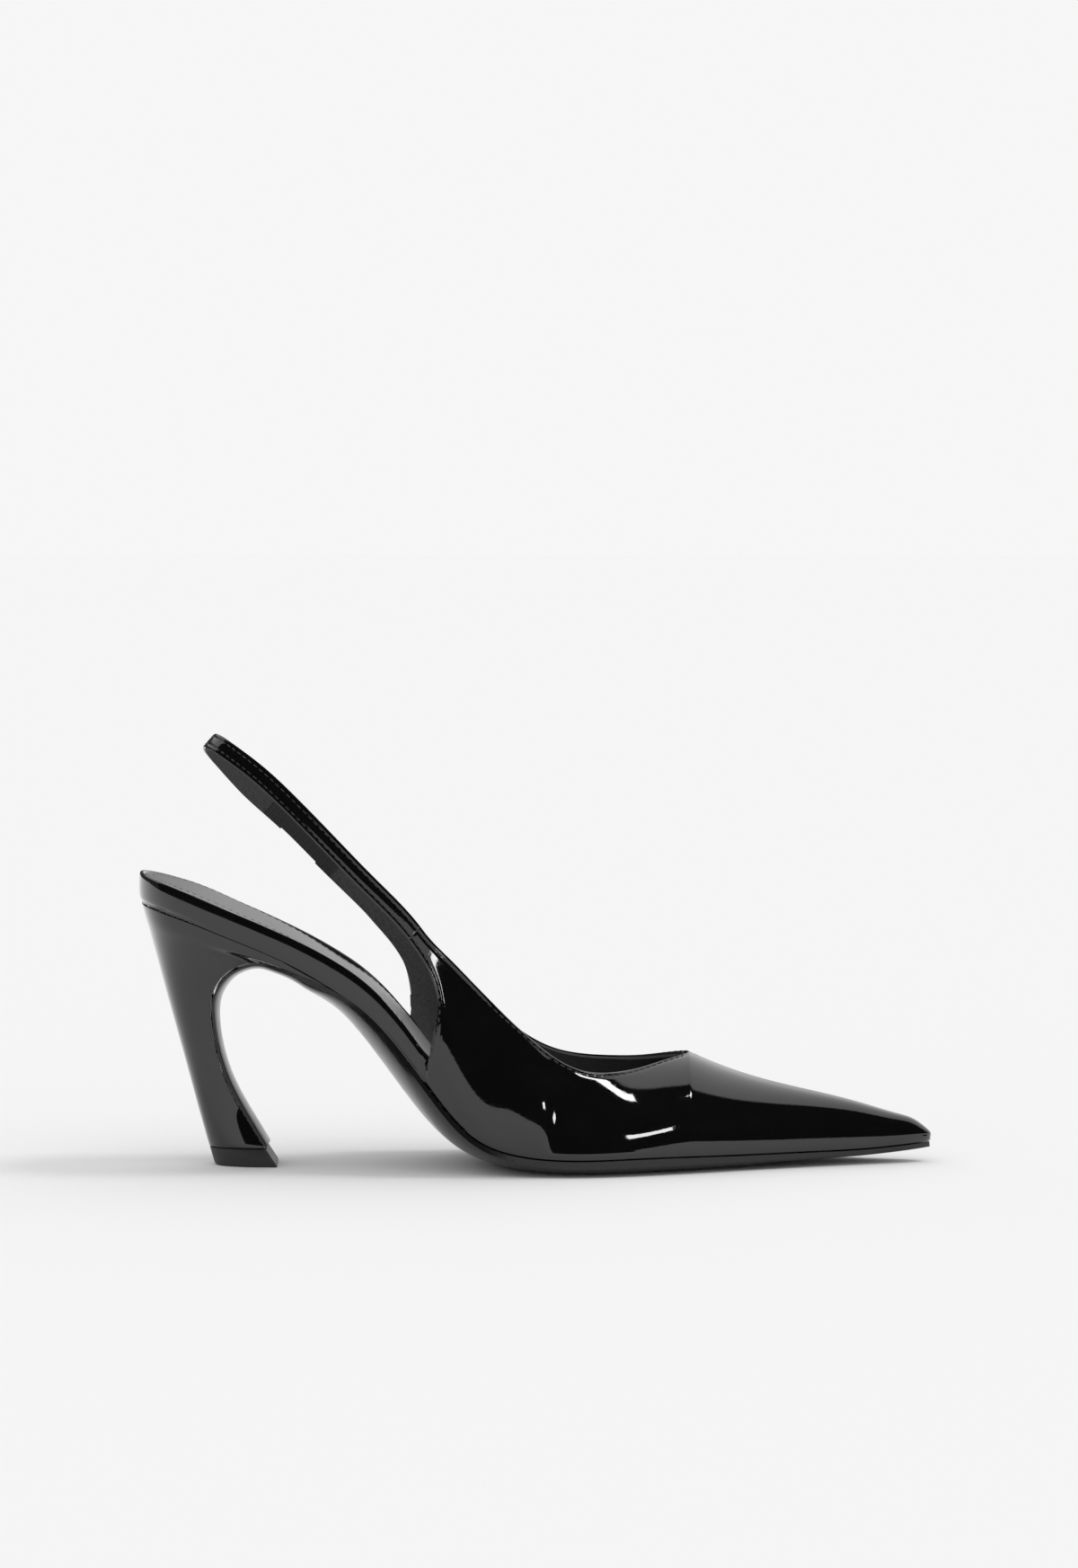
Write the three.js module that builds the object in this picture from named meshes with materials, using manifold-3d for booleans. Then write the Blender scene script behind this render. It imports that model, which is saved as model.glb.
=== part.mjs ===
// High heel slingback pump, right shoe, as a scene graph of separate pieces.
// Millimetres. +X towards the toe, -Y the lateral (outer) side, +Z up, floor at z = 0.
import * as THREE from "three";
import Module from "manifold-3d";
import { mergeVertices } from "three/addons/utils/BufferGeometryUtils.js";

const wasm = await Module();
wasm.setup();

// Driving dimensions
const GAP = 0.3; // clearance kept between neighbouring pieces
const OUTER_LEATHER = 0.9; // patent leather
const LINING_LEATHER = 0.7;
const HEEL_COVER = 0.6; // patent wrap round the heel
const RAND = 1.0; // patent band round the seat
const LASTING_MARGIN = 8; // upper turned in under the insole
const BOARD = 1.2; // insole board and shank board, each
const SOCK = 0.8;
const TOP_LIFT_HEIGHT = 5.4;
const THROAT_X = 44.7; // front of the foot opening
const STRAP_WIDTH = 5.2;
const LATERAL = -1;
const MEDIAL = 1;

const PATENT = { color: 0x0b0b0c, roughness: 0.08, metalness: 0 };
const LINING = { color: 0x3a3a3d, roughness: 0.75, metalness: 0 };
const SOCK_LEATHER = { color: 0x55565a, roughness: 0.5, metalness: 0 };
const SOLE = { color: 0x161617, roughness: 0.3, metalness: 0 };
const FIBRE = { color: 0x9c7d55, roughness: 0.9, metalness: 0 };
const STEEL = { color: 0x9a9da1, roughness: 0.35, metalness: 1 };
const RUBBER = { color: 0x121212, roughness: 0.6, metalness: 0 };
const FOAM = { color: 0xd8cfa8, roughness: 0.95, metalness: 0 };
const ELASTIC = { color: 0x1b1b1d, roughness: 0.85, metalness: 0 };
const RESIN = { color: 0xe6e2d6, roughness: 0.5, metalness: 0 };

const shoe = new THREE.Group();

// Natural cubic spline through [x, value] pairs listed by rising x; straight beyond its ends.
function smooth(points) {
  const n = points.length;
  const bend = new Array(n).fill(0);
  const work = new Array(n).fill(0);
  for (let i = 1; i < n - 1; i++) {
    const [x0, v0] = points[i - 1];
    const [x1, v1] = points[i];
    const [x2, v2] = points[i + 1];
    const share = (x1 - x0) / (x2 - x0);
    const p = share * bend[i - 1] + 2;
    bend[i] = (share - 1) / p;
    const turn = (v2 - v1) / (x2 - x1) - (v1 - v0) / (x1 - x0);
    work[i] = ((6 * turn) / (x2 - x0) - share * work[i - 1]) / p;
  }
  for (let i = n - 2; i >= 0; i--) bend[i] = bend[i] * bend[i + 1] + work[i];
  return (x) => {
    let i = 0;
    while (i < n - 2 && x > points[i + 1][0]) i++;
    const [x0, v0] = points[i];
    const [x1, v1] = points[i + 1];
    const h = x1 - x0;
    if (x < x0) return v0 + (x - x0) * ((v1 - v0) / h - (h * bend[i + 1]) / 6);
    if (x > x1) return v1 + (x - x1) * ((v1 - v0) / h + (h * bend[i]) / 6);
    const a = (x1 - x) / h;
    const b = 1 - a;
    return a * v0 + b * v1 + (((a ** 3 - a) * bend[i] + (b ** 3 - b) * bend[i + 1]) * h * h) / 6;
  };
}

function ease(from, to, x) {
  const t = Math.min(1, Math.max(0, (x - from) / (to - from)));
  return t * t * (3 - 2 * t);
}

// Builds a closed geometry from points and triangles, welded and facing outwards.
function closedGeometry(points, faces) {
  const flat = [];
  for (const face of faces) for (const i of face) flat.push(...points[i]);
  const raw = new THREE.BufferGeometry();
  raw.setAttribute("position", new THREE.Float32BufferAttribute(flat, 3));
  const welded = mergeVertices(raw, 1e-4);
  const position = welded.getAttribute("position");
  const index = [];
  let volume = 0;
  const a = new THREE.Vector3();
  const b = new THREE.Vector3();
  const c = new THREE.Vector3();
  for (let i = 0; i < welded.index.count; i += 3) {
    const tri = [0, 1, 2].map((k) => welded.index.getX(i + k));
    if (tri[0] === tri[1] || tri[1] === tri[2] || tri[2] === tri[0]) continue;
    index.push(...tri);
    a.fromBufferAttribute(position, tri[0]);
    b.fromBufferAttribute(position, tri[1]);
    c.fromBufferAttribute(position, tri[2]);
    volume += a.dot(b.cross(c));
  }
  if (volume < 0) index.reverse();
  welded.setIndex(index);
  welded.computeVertexNormals();
  return welded;
}

// Closed body through rings of equal length. Each end is closed by rungs that join a
// ring's first half to its second half.
function loft(rings) {
  const points = rings.flat();
  const count = rings[0].length;
  const faces = [];
  for (let r = 0; r < rings.length - 1; r++) {
    for (let i = 0; i < count; i++) {
      const next = (i + 1) % count;
      const a = r * count;
      const b = a + count;
      faces.push([a + i, a + next, b + next], [a + i, b + next, b + i]);
    }
  }
  for (const [start, turned] of [[0, true], [(rings.length - 1) * count, false]]) {
    for (let i = 0; i < count / 2 - 1; i++) {
      const low = start + i;
      const high = start + count - 1 - i;
      const rungs = [[low, low + 1, high - 1], [low, high - 1, high]];
      for (const rung of rungs) faces.push(turned ? rung.reverse() : rung);
    }
  }
  return closedGeometry(points, faces);
}

// Welds grids of surface points into one open sheet with averaged normals.
function sheet(...grids) {
  const points = [];
  const faces = [];
  const seen = new Map();
  const add = (p) => {
    const key = p.map((v) => Math.round(v * 500)).join();
    if (!seen.has(key)) {
      seen.set(key, points.length);
      points.push(p);
    }
    return seen.get(key);
  };
  for (const rows of grids) {
    for (let r = 0; r < rows.length - 1; r++) {
      for (let c = 0; c < rows[r].length - 1; c++) {
        const corner = [rows[r][c], rows[r][c + 1], rows[r + 1][c + 1], rows[r + 1][c]];
        const [i, j, k, l] = corner.map(add);
        for (const face of [[i, j, k], [i, k, l]]) {
          if (new Set(face).size === 3) faces.push(face);
        }
      }
    }
  }
  const normals = points.map(() => new THREE.Vector3());
  const edgeA = new THREE.Vector3();
  const edgeB = new THREE.Vector3();
  for (const [i, j, k] of faces) {
    edgeA.fromArray(points[j]).sub(new THREE.Vector3().fromArray(points[i]));
    edgeB.fromArray(points[k]).sub(new THREE.Vector3().fromArray(points[i]));
    edgeA.cross(edgeB);
    for (const v of [i, j, k]) normals[v].add(edgeA);
  }
  for (const n of normals) n.normalize();
  return { points, faces, normals };
}

// Leather cut from a sheet: both faces follow the sheet, at depths below it.
function leather(surface, top, bottom) {
  const { points, faces, normals } = surface;
  const depthOf = (depth, p) => (typeof depth === "function" ? depth(p) : depth);
  const shift = (depth) =>
    points.map((p, i) => {
      const d = depthOf(depth, p);
      return [p[0] - normals[i].x * d, p[1] - normals[i].y * d, p[2] - normals[i].z * d];
    });
  const count = points.length;
  const body = faces.map((f) => [...f]);
  for (const [i, j, k] of faces) body.push([count + i, count + k, count + j]);
  const edges = new Set(faces.flatMap(([i, j, k]) => [`${i},${j}`, `${j},${k}`, `${k},${i}`]));
  for (const edge of edges) {
    const [i, j] = edge.split(",").map(Number);
    if (edges.has(`${j},${i}`)) continue;
    body.push([j, i, count + i], [j, count + i, count + j]);
  }
  return closedGeometry([...shift(top), ...shift(bottom)], body);
}

function solidOf(geometry) {
  const bare = new THREE.BufferGeometry();
  bare.setAttribute("position", geometry.getAttribute("position").clone());
  if (geometry.index) bare.setIndex(geometry.index.clone());
  const merged = mergeVertices(bare, 1e-4);
  const vertProperties = new Float32Array(merged.getAttribute("position").array);
  const triVerts = new Uint32Array(merged.index.array);
  return new wasm.Manifold(new wasm.Mesh({ numProp: 3, vertProperties, triVerts }));
}

function geometryOf(solid) {
  const mesh = solid.getMesh();
  const geometry = new THREE.BufferGeometry();
  geometry.setAttribute("position", new THREE.Float32BufferAttribute(mesh.vertProperties, 3));
  geometry.setIndex([...mesh.triVerts]);
  geometry.computeVertexNormals();
  return geometry;
}

function drill(geometry, tools) {
  return geometryOf(tools.reduce((rest, tool) => rest.subtract(solidOf(tool)), solidOf(geometry)));
}

function join(parts) {
  return geometryOf(parts.map(solidOf).reduce((all, part) => all.add(part)));
}

function piece(name, geometry, finish) {
  const mesh = new THREE.Mesh(geometry, new THREE.MeshStandardMaterial(finish));
  mesh.name = name;
  shoe.add(mesh);
}

// Round bar of the given profile [radius, distance] turned about the line from a to b.
function turned(profile, a, b, sides = 16) {
  const lathe = new THREE.LatheGeometry(profile.map(([r, h]) => new THREE.Vector2(r, h)), sides);
  const along = new THREE.Vector3().fromArray(b).sub(new THREE.Vector3().fromArray(a)).normalize();
  lathe.applyQuaternion(
    new THREE.Quaternion().setFromUnitVectors(new THREE.Vector3(0, 1, 0), along),
  );
  lathe.translate(...a);
  const position = lathe.getAttribute("position");
  const points = [];
  for (let i = 0; i < position.count; i++) {
    points.push([position.getX(i), position.getY(i), position.getZ(i)]);
  }
  const faces = [];
  for (let i = 0; i < lathe.index.count; i += 3) {
    faces.push([0, 1, 2].map((k) => lathe.index.getX(i + k)));
  }
  return closedGeometry(points, faces);
}

function bar(radius, a, b, sides) {
  const length = new THREE.Vector3().fromArray(a).distanceTo(new THREE.Vector3().fromArray(b));
  return turned([[0, 0], [radius, 0], [radius, length], [0, length]], a, b, sides);
}

// Side profile of the line where the upper, and behind it the seat band, meets the bottom.
const featherZ = smooth([
  [-116.5, 78.3], [-104.8, 74.9], [-90.9, 69.4], [-71.4, 60.6], [-60, 53.8], [-50.8, 47.2],
  [-41.5, 37.2], [-33.4, 26.7], [-27.7, 19.3], [-22.4, 13.6], [-17.7, 10.1], [-11.8, 7.5],
  [-4.5, 5.9], [5, 5.05], [29, 5.05], [55, 4.7], [80, 4.5], [96, 4.6], [108, 5.3], [117, 6.1],
]);

// Height that lies a distance n square to that line.
function above(x, n) {
  const slope = featherZ(x + 0.5) - featherZ(x - 0.5);
  return featherZ(x) + n * Math.sqrt(1 + slope * slope);
}

// Plan outline: distance of each side from the shoe's long axis.
const sideOutline = {
  [LATERAL]: smooth([
    [-80, 23.5], [-65, 22], [-50, 23], [-35, 27.3], [-20, 32.8], [-5, 36.7], [10, 38],
    [22, 36.4], [35, 32.3], [50, 26.3], [65, 20], [80, 14], [95, 8.6], [105, 5.4], [119, 1.2],
  ]),
  [MEDIAL]: smooth([
    [-80, 23.5], [-65, 21.4], [-50, 20.8], [-35, 24.4], [-20, 29.8], [-5, 34.2], [10, 36.8],
    [22, 36.9], [35, 34.6], [50, 29.6], [65, 23.5], [80, 17.5], [95, 11.7], [105, 8.3], [119, 4],
  ]),
};
const TOE_TIP_Y = 1.5;
const TOE_TIP_X = 117;
const SEAT_BACK_X = -117;
const SEAT_HALF_WIDTH = 24.5;
const SEAT_ROUND_X = -95; // the seat's round back starts here

function toeCentre(x) {
  return TOE_TIP_Y * ease(55, TOE_TIP_X, x);
}

function halfWidth(side, x) {
  if (x < SEAT_ROUND_X) {
    const q = Math.min(1, (SEAT_ROUND_X - x) / (SEAT_ROUND_X - SEAT_BACK_X));
    return SEAT_HALF_WIDTH * Math.sqrt(1 - q * q);
  }
  if (x < -80) return 23.5 + (SEAT_HALF_WIDTH - 23.5) * ease(-80, SEAT_ROUND_X, x);
  const taper = sideOutline[side](x);
  const q = Math.min(1, Math.max(0, (x - 107) / (TOE_TIP_X - 107)));
  const centre = side * toeCentre(x);
  return centre + (taper - centre) * Math.sqrt(1 - q ** 3);
}

// Stations shared by every layer of the bottom, so that neighbouring layers stay parallel.
const STATIONS = [-112, -108, -103, -97, -91, -84, -77, -70, -64, -58, -53, -48, -43, -38.2,
  -33.2, -26, -17.7, -8, 2, 8, 14, 20, 26, 32, 37, 41, 44.7, 49.5, 55, 62,
  70, 78, 86, 94, 101, 107, 111];

function stations(from, to) {
  const middle = STATIONS.filter((x) => x > from + 2.4 && x < to - 2.4);
  return [from, from + 0.5, from + 1.8, ...middle, to - 1.8, to - 0.5, to];
}

// A layer of the bottom between two heights, inset from the outline.
function slab(from, to, inset, bottom, top, across = 4) {
  const rings = stations(from, to).map((x) => {
    const reach = Math.min(x - from, to - x) + 0.15;
    const width = {};
    for (const side of [LATERAL, MEDIAL]) {
      const full = halfWidth(side, x) - (typeof inset === "function" ? inset(x) : inset);
      const centre = side * toeCentre(x);
      width[side] = centre + Math.max(0.2, Math.min(full - centre, Math.sqrt(reach) * 7));
    }
    const ring = [];
    for (let i = 0; i <= across; i++) {
      const y = -width[LATERAL] + ((width[LATERAL] + width[MEDIAL]) * i) / across;
      ring.push([x, y, bottom(x)]);
    }
    for (const [, y] of [...ring].reverse()) ring.push([x, y, top(x)]);
    return ring;
  });
  return loft(rings);
}

// Sole: forepart and waist under the shoe, then a thin flap down the front of the heel.
const soleCentreDepth = smooth([
  [-60, 5], [-50, 6.4], [-33, 7.5], [-20, 7], [-5, 6.4], [20, 6.2], [45, 5.6], [69, 3.6],
  [96, 1.8], [117, 1.6],
]);
const soleEdgeDepth = smooth([[-60, 2], [-20, 2.1], [-5, 2.8], [29, 3.4], [69, 2.5], [117, 1.5]]);
const SOLE_INSET = 0.5;
// Line along which the flap lies on the heel: [x, z, half width, depth at centre, at edge].
const breastLine = [
  [-66, 54.8, 21.6, 3.4, 1.5], [-71.6, 57.5, 21.2, 2.6, 1.1], [-76.5, 59.4, 20.4, 2.5, 1],
  [-81.2, 60.6, 19.2, 2.5, 1], [-86, 60, 17.7, 2.5, 1], [-90.4, 57.6, 15.8, 2.5, 1],
  [-93.7, 53.8, 13.7, 2.5, 1], [-95.4, 49.6, 11.8, 2.4, 1], [-95.5, 43.5, 10.1, 2, 1],
  [-94.2, 34.7, 8.9, 1.9, 1], [-91.3, 25.5, 8.6, 1.9, 1], [-86.7, 16.5, 8.8, 1.9, 1],
  [-80.4, 6, 9.2, 1.9, 1],
];

function soleRings() {
  const forward = STATIONS.filter((x) => x > -60).reverse();
  const path = [116.4, 115, 113, ...forward].map((x) => ({
    x,
    z: above(x, x < -50 ? -0.15 - 0.1 * (-50 - x) : -0.15),
    wide: { [LATERAL]: halfWidth(LATERAL, x), [MEDIAL]: halfWidth(MEDIAL, x) },
    centre: soleCentreDepth(x),
    edge: soleEdgeDepth(x),
  }));
  for (const [x, z, w, centre, edge] of breastLine) {
    path.push({ x, z, wide: { [LATERAL]: w, [MEDIAL]: w }, centre, edge });
  }
  return path.map((p, i) => {
    const before = path[Math.max(0, i - 1)];
    const after = path[Math.min(path.length - 1, i + 1)];
    const run = Math.hypot(after.x - before.x, after.z - before.z);
    const down = [(before.z - after.z) / run, (after.x - before.x) / run];
    const near = -(p.wide[LATERAL] - SOLE_INSET);
    const far = p.wide[MEDIAL] - SOLE_INSET;
    const ring = [];
    const across = 8;
    for (let k = 0; k <= across; k++) ring.push([p.x, near + ((far - near) * k) / across, p.z]);
    for (let k = across; k >= 0; k--) {
      const share = (2 * k) / across - 1;
      const depth = p.edge + (p.centre - p.edge) * (1 - share * share);
      const y = (near + far) / 2 + ((far - near) / 2) * share * (Math.abs(share) > 0.9 ? 0.985 : 1);
      ring.push([p.x + down[0] * depth, y, Math.max(0, p.z + down[1] * depth)]);
    }
    return ring;
  });
}

// Heel: rings that fan round the arch, from the seat down to the top lift.
// [front x, front z, back x, back z, half width at the front, widening, corner power]
const heelRings = [
  [-60.6, 53.1, -116.4, 77.6, 21.7, 2.4, 7], [-71.6, 58.4, -115.3, 73.2, 21.4, 1.6, 6.4],
  [-81.2, 61.1, -114.2, 69.5, 19.5, 1.2, 5.6], [-88.5, 59.6, -113.2, 65.8, 17, 1, 4.8],
  [-93, 56.1, -111.9, 61, 14.6, 0.8, 4], [-95.6, 50.9, -110, 53.8, 12.2, 0.6, 3.4],
  [-95.9, 43.5, -107.7, 45.3, 10.4, 0.4, 3], [-94.6, 34.7, -105, 35.5, 9.2, 0.3, 2.8],
  [-91.7, 25.5, -102.3, 25.5, 8.9, 0.3, 2.6], [-87, 16.5, -99.9, 16.5, 9.1, 0.3, 2.6],
  [-80.3, TOP_LIFT_HEIGHT + GAP, -96.9, TOP_LIFT_HEIGHT + GAP, 9.5, 0.2, 2.6],
];
const SEAT_SAG = [1, 0.8, 0.55, 0.3, 0.12]; // how far each upper ring follows the seat line

function heelGrid() {
  const across = 10;
  return heelRings.map(([fx, fz, bx, bz, half, widening, power], k) => {
    const row = [];
    for (let i = -across; i <= across; i++) {
      const turn = (Math.PI / 2) * (1 - Math.abs(i) / across) ** 1.7;
      const p = Math.sin((Math.PI / 2) * (1 - (1 - (2 * turn) / Math.PI))) ** (2 / power);
      const x = fx + (bx - fx) * p;
      const side = Math.sign(i) * Math.cos(turn) * (half + widening * p);
      const seat = above(x, -0.15) - (above(fx, -0.15) + (above(bx, -0.15) - above(fx, -0.15)) * p);
      row.push([x, side, fz + (bz - fz) * p + (SEAT_SAG[k] ?? 0) * seat * (k < 5 ? 1 : 0)]);
    }
    return row;
  });
}

// Foot opening: distance of the top edge from the middle, and its height, on each side.
const throatHalfWidth = smooth([
  [0, 0], [1, 3.2], [2, 6.7], [3.32, 12.3], [4.1, 17], [4.7, 21.4], [5.3, 24.6], [5.83, 26.4],
  [6.53, 27.9],
]);
const topEdgeHeight = {
  [LATERAL]: smooth([
    [-60, 98], [-47, 85], [-36.3, 73.9], [-30.3, 67.5], [-20.2, 57.1], [-9.3, 46.1],
    [-2, 39.4], [5.3, 33.7], [13.2, 30.1], [21.4, 29.3], [29.4, 30], [38, 31.9], [44.7, 33.1],
  ]),
  [MEDIAL]: smooth([
    [-73, 99.2], [-62, 88.8], [-44.3, 72.7], [-35, 64.1], [-25, 54.7], [-15, 45.6], [-6, 38.1],
    [1.4, 33.4], [6.6, 31.3], [12.1, 30.2], [22.9, 29.9], [33.4, 31.1], [40.4, 32.4], [44.7, 33.1],
  ]),
};
const ridge = smooth([
  [44.7, 33.1], [53.8, 29.2], [64.5, 25.5], [75.1, 22.7], [85.8, 20.2], [96.5, 17.4],
  [107.2, 14.2], [112.6, 12.2], [117, 8.6],
]);
const shoulder = smooth([
  [-10, 0.6], [10, 0.36], [25, 0.32], [45, 0.44], [70, 0.52], [95, 0.6], [117, 0.6],
]);
const swell = smooth([[0, 1.6], [30, 1.8], [60, 1.4], [90, 0.7], [117, 0.2]]);
const FLANK = 0.5;

function archY(side, x, t) {
  const v = halfWidth(side, x) - side * toeCentre(x);
  const s = 1 - t;
  const reach = s ** 3 * v + 3 * s * s * t * (v + swell(x)) + 3 * s * t * t * v * shoulder(x);
  return toeCentre(x) + side * reach;
}

function archShare(t) {
  const s = 1 - t;
  return 3 * s * s * t * FLANK + 3 * s * t * t + t ** 3;
}

function uptake(test) {
  let low = 0;
  let high = 1;
  for (let i = 0; i < 40; i++) {
    const middle = (low + high) / 2;
    if (test(middle)) low = middle;
    else high = middle;
  }
  return (low + high) / 2;
}

const UPPER_FOOT = 2.2; // the upper's flank starts this far above the feather line

// Where a cross-section ends: at the ridge, or at the top edge behind the throat.
function sectionEnd(side, x) {
  if (x >= THROAT_X) return { t: 1, rise: ridge(x) - above(x, UPPER_FOOT) };
  const half = throatHalfWidth(Math.sqrt(THROAT_X - x));
  const t = uptake((u) => Math.abs(archY(side, x, u)) > half);
  return { t, rise: (topEdgeHeight[side](x) - above(x, UPPER_FOOT)) / archShare(t) };
}

function sectionPoint(side, x, share) {
  const end = sectionEnd(side, x);
  const t = end.t * share;
  return [x, archY(side, x, t), above(x, UPPER_FOOT) + end.rise * archShare(t)];
}

// Side wall behind x = 2, as a distance from the middle at a place on the side view.
const wallTopHalf = smooth([[-60, 26.5], [-50, 28.2], [-38, 29.4], [-20, 29.8], [-8, 28.8], [2, 27.9]]);

function wallPoint(side, x, z) {
  const foot = above(x, UPPER_FOOT);
  const v = Math.max(0, Math.min(1, (z - foot) / (topEdgeHeight[side](x) - foot)));
  const base = x < -40 ? Math.min(halfWidth(side, -40) + 1, 28) : halfWidth(side, x);
  const y = base + (wallTopHalf(x) - base) * v * v + 1.4 * Math.sin(Math.PI * v);
  return [x, side * y, z];
}

const CROSSWISE = 8;
// Side wall ribs behind x = 2: [lower x, lower z or null on the feather line, upper x].
const wallRibs = {
  [LATERAL]: [
    [-8, null, -4], [-17.7, null, -9.5], [-26, null, -14], [-33.2, null, -18.5],
    [-31.3, 38, -20.5], [-29.6, 46, -22.8], [-30.2, 54, -25.4], [-32.4, 61, -28.2],
  ],
  [MEDIAL]: [
    [-8, null, -5], [-17.7, null, -11], [-26, null, -17], [-33.2, null, -22.5], [-38.2, null, -26.5],
    [-37.2, 43, -29.5], [-37.6, 50, -32.6], [-39.2, 56.6, -35.8], [-41.9, 61.2, -38.5],
  ],
};
const FRONT_ROWS = [116.7, 115.6, 113.8, 111, 107, 101, 94, 86, 78, 70, 62, 55, 49.5, THROAT_X,
  43.6, 41, 37, 32, 26, 20, 14, 13.6, 8, 2];

function upperRow(side, x) {
  const row = [];
  for (let i = 0; i <= CROSSWISE; i++) row.push(sectionPoint(side, x, i / CROSSWISE));
  return row;
}

function wallRow(side, [lowX, lowZ, highX]) {
  const foot = lowZ ?? above(lowX, UPPER_FOOT);
  const top = topEdgeHeight[side](highX);
  const row = [];
  for (let i = 0; i <= CROSSWISE; i++) {
    const v = i / CROSSWISE;
    row.push(wallPoint(side, lowX + (highX - lowX) * v, foot + (top - foot) * v));
  }
  return row;
}

function flankRows(side, fromX, toX) {
  const rows = FRONT_ROWS.filter((x) => x <= fromX && x >= toX).map((x) => upperRow(side, x));
  if (toX <= 2) rows.push(...wallRibs[side].map((rib) => wallRow(side, rib)));
  return rows;
}

// The upper also turns in under the insole, as far as its rear corners.
function marginRows(side, rows) {
  const onFeather = rows.filter(([[x, , z]]) => Math.abs(z - above(x, UPPER_FOOT)) < 0.01);
  return onFeather.map((row) => {
    const [x, y] = row[0];
    const centre = toeCentre(x);
    const half = Math.abs(y - centre);
    const at = (inward, n) => [x, centre + side * Math.max(0.35 * half, half - inward), above(x, n)];
    return [at(LASTING_MARGIN, 0.15), at(2, 0.15), at(0.5, 0.8), row[0]];
  });
}

function mirroredGrid(side, rows) {
  return side === MEDIAL ? rows.map((row) => [...row].reverse()) : rows;
}

const outerSheet = sheet(
  ...[LATERAL, MEDIAL].flatMap((side) => {
    const rows = flankRows(side, 118, 0);
    return [mirroredGrid(side, rows), mirroredGrid(side, marginRows(side, rows))];
  }),
);
// A lining's sheet takes the outer leather's normals, so that the two stay parallel.
const pointKey = (p) => p.map((v) => Math.round(v * 500)).join();
const outerNormals = new Map(outerSheet.points.map((p, i) => [pointKey(p), outerSheet.normals[i]]));
function innerSheet(...sides) {
  const inner = sheet(
    ...sides.map(([side, rows]) => mirroredGrid(side, rows.map((row) => row.slice(1)))),
  );
  inner.normals = inner.points.map((p) => outerNormals.get(pointKey(p)));
  return inner;
}

const tipThinning = (p) => OUTER_LEATHER * Math.min(1, 0.25 + Math.max(0, (117 - p[0]) / 9));
piece("vamp_outer", leather(outerSheet, 0, tipThinning), PATENT);

// Linings lie one gap inside the outer leather; the toe puff sits between them at the toe.
const liningTop = OUTER_LEATHER + GAP;
const PUFF = 0.6;
const PUFF_BACK_X = 86;
const puffSheet = innerSheet(
  ...[LATERAL, MEDIAL].map((side) => [side, flankRows(side, 111, PUFF_BACK_X)]),
);
piece("toe_puff", leather(puffSheet, liningTop, liningTop + PUFF), FIBRE);
const liningDepth = (p) => liningTop + (PUFF + GAP) * ease(78, 85, p[0]);
const vampLiningSheet = innerSheet(
  ...[LATERAL, MEDIAL].map((side) => [side, flankRows(side, 107, 14)]),
);
piece(
  "vamp_lining",
  leather(vampLiningSheet, liningDepth, (p) => liningDepth(p) + LINING_LEATHER),
  LINING,
);
for (const [side, name] of [[LATERAL, "quarter_lining_lateral"], [MEDIAL, "quarter_lining_medial"]]) {
  const lining = innerSheet([side, flankRows(side, 13.6, 0)]);
  piece(name, leather(lining, liningTop, liningTop + LINING_LEATHER), LINING);
}

// Sling: lower edge of the strap from the lateral quarter, round the ankle, to the medial one.
const slingPath = new THREE.CatmullRomCurve3(
  [
    [-32.6, -30, 60.4], [-37.9, -29.8, 68.4], [-51.5, -28.4, 82.9], [-62, -26.4, 93.6],
    [-73.3, -22.8, 105], [-84, -17.4, 114.7], [-91.6, -11.8, 120.2], [-96.9, -5, 123.3],
    [-98.5, 0.5, 123.2], [-97.7, 6, 121], [-94.7, 11.6, 117], [-87.7, 18, 108.8],
    [-76.4, 23.8, 98], [-65.9, 27.2, 87.2], [-57, 28.9, 78.3], [-49.5, 29.6, 70.6], [-42.8, 29.9, 62.3],
  ].map((p) => new THREE.Vector3(...p)),
  false,
  "centripetal",
);
const SLING_POINTS = 16;
const strapAcross = new THREE.Vector3(0.66, 0, 0.75).normalize();

function slingSheet(from, to, steps, width = STRAP_WIDTH) {
  const rows = [];
  for (let i = 0; i <= steps; i++) {
    const at = slingPath.getPoint((from + ((to - from) * i) / steps) / SLING_POINTS);
    const inset = (STRAP_WIDTH - width) / 2;
    const row = [];
    for (const across of [0, 0.5, 1]) {
      row.push(at.clone().addScaledVector(strapAcross, inset + width * across).toArray());
    }
    rows.push(row);
  }
  return sheet(rows);
}

const ROOT_END = 0.97;
const LOOP_START = 1.03;
const ELASTIC_REAR = 12;
const ELASTIC_FRONT = 13;
const TAB_FRONT = 14.96;
const TUCK = 0.45; // how far the elastic runs in under the leather at each end
const strapDepth = OUTER_LEATHER + GAP + LINING_LEATHER;
piece("lateral_strap_root", leather(slingSheet(0.05, ROOT_END, 4), 0, strapDepth), PATENT);
piece("sling_strap_outer", leather(slingSheet(LOOP_START, ELASTIC_REAR, 34), 0, OUTER_LEATHER), PATENT);
piece(
  "sling_strap_lining",
  leather(slingSheet(LOOP_START, ELASTIC_REAR - TUCK - 0.05, 34), liningTop, strapDepth),
  LINING,
);
piece(
  "elastic_gore",
  leather(slingSheet(ELASTIC_REAR - TUCK, ELASTIC_FRONT + TUCK, 8, 4.7), liningTop, strapDepth),
  ELASTIC,
);
piece("medial_tab_outer", leather(slingSheet(ELASTIC_FRONT, TAB_FRONT, 6), 0, OUTER_LEATHER), PATENT);
piece(
  "medial_tab_lining",
  leather(slingSheet(ELASTIC_FRONT + TUCK + 0.05, TAB_FRONT, 5), liningTop, strapDepth),
  LINING,
);
piece("medial_strap_root", leather(slingSheet(15.03, 15.88, 4), 0, strapDepth), PATENT);

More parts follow.
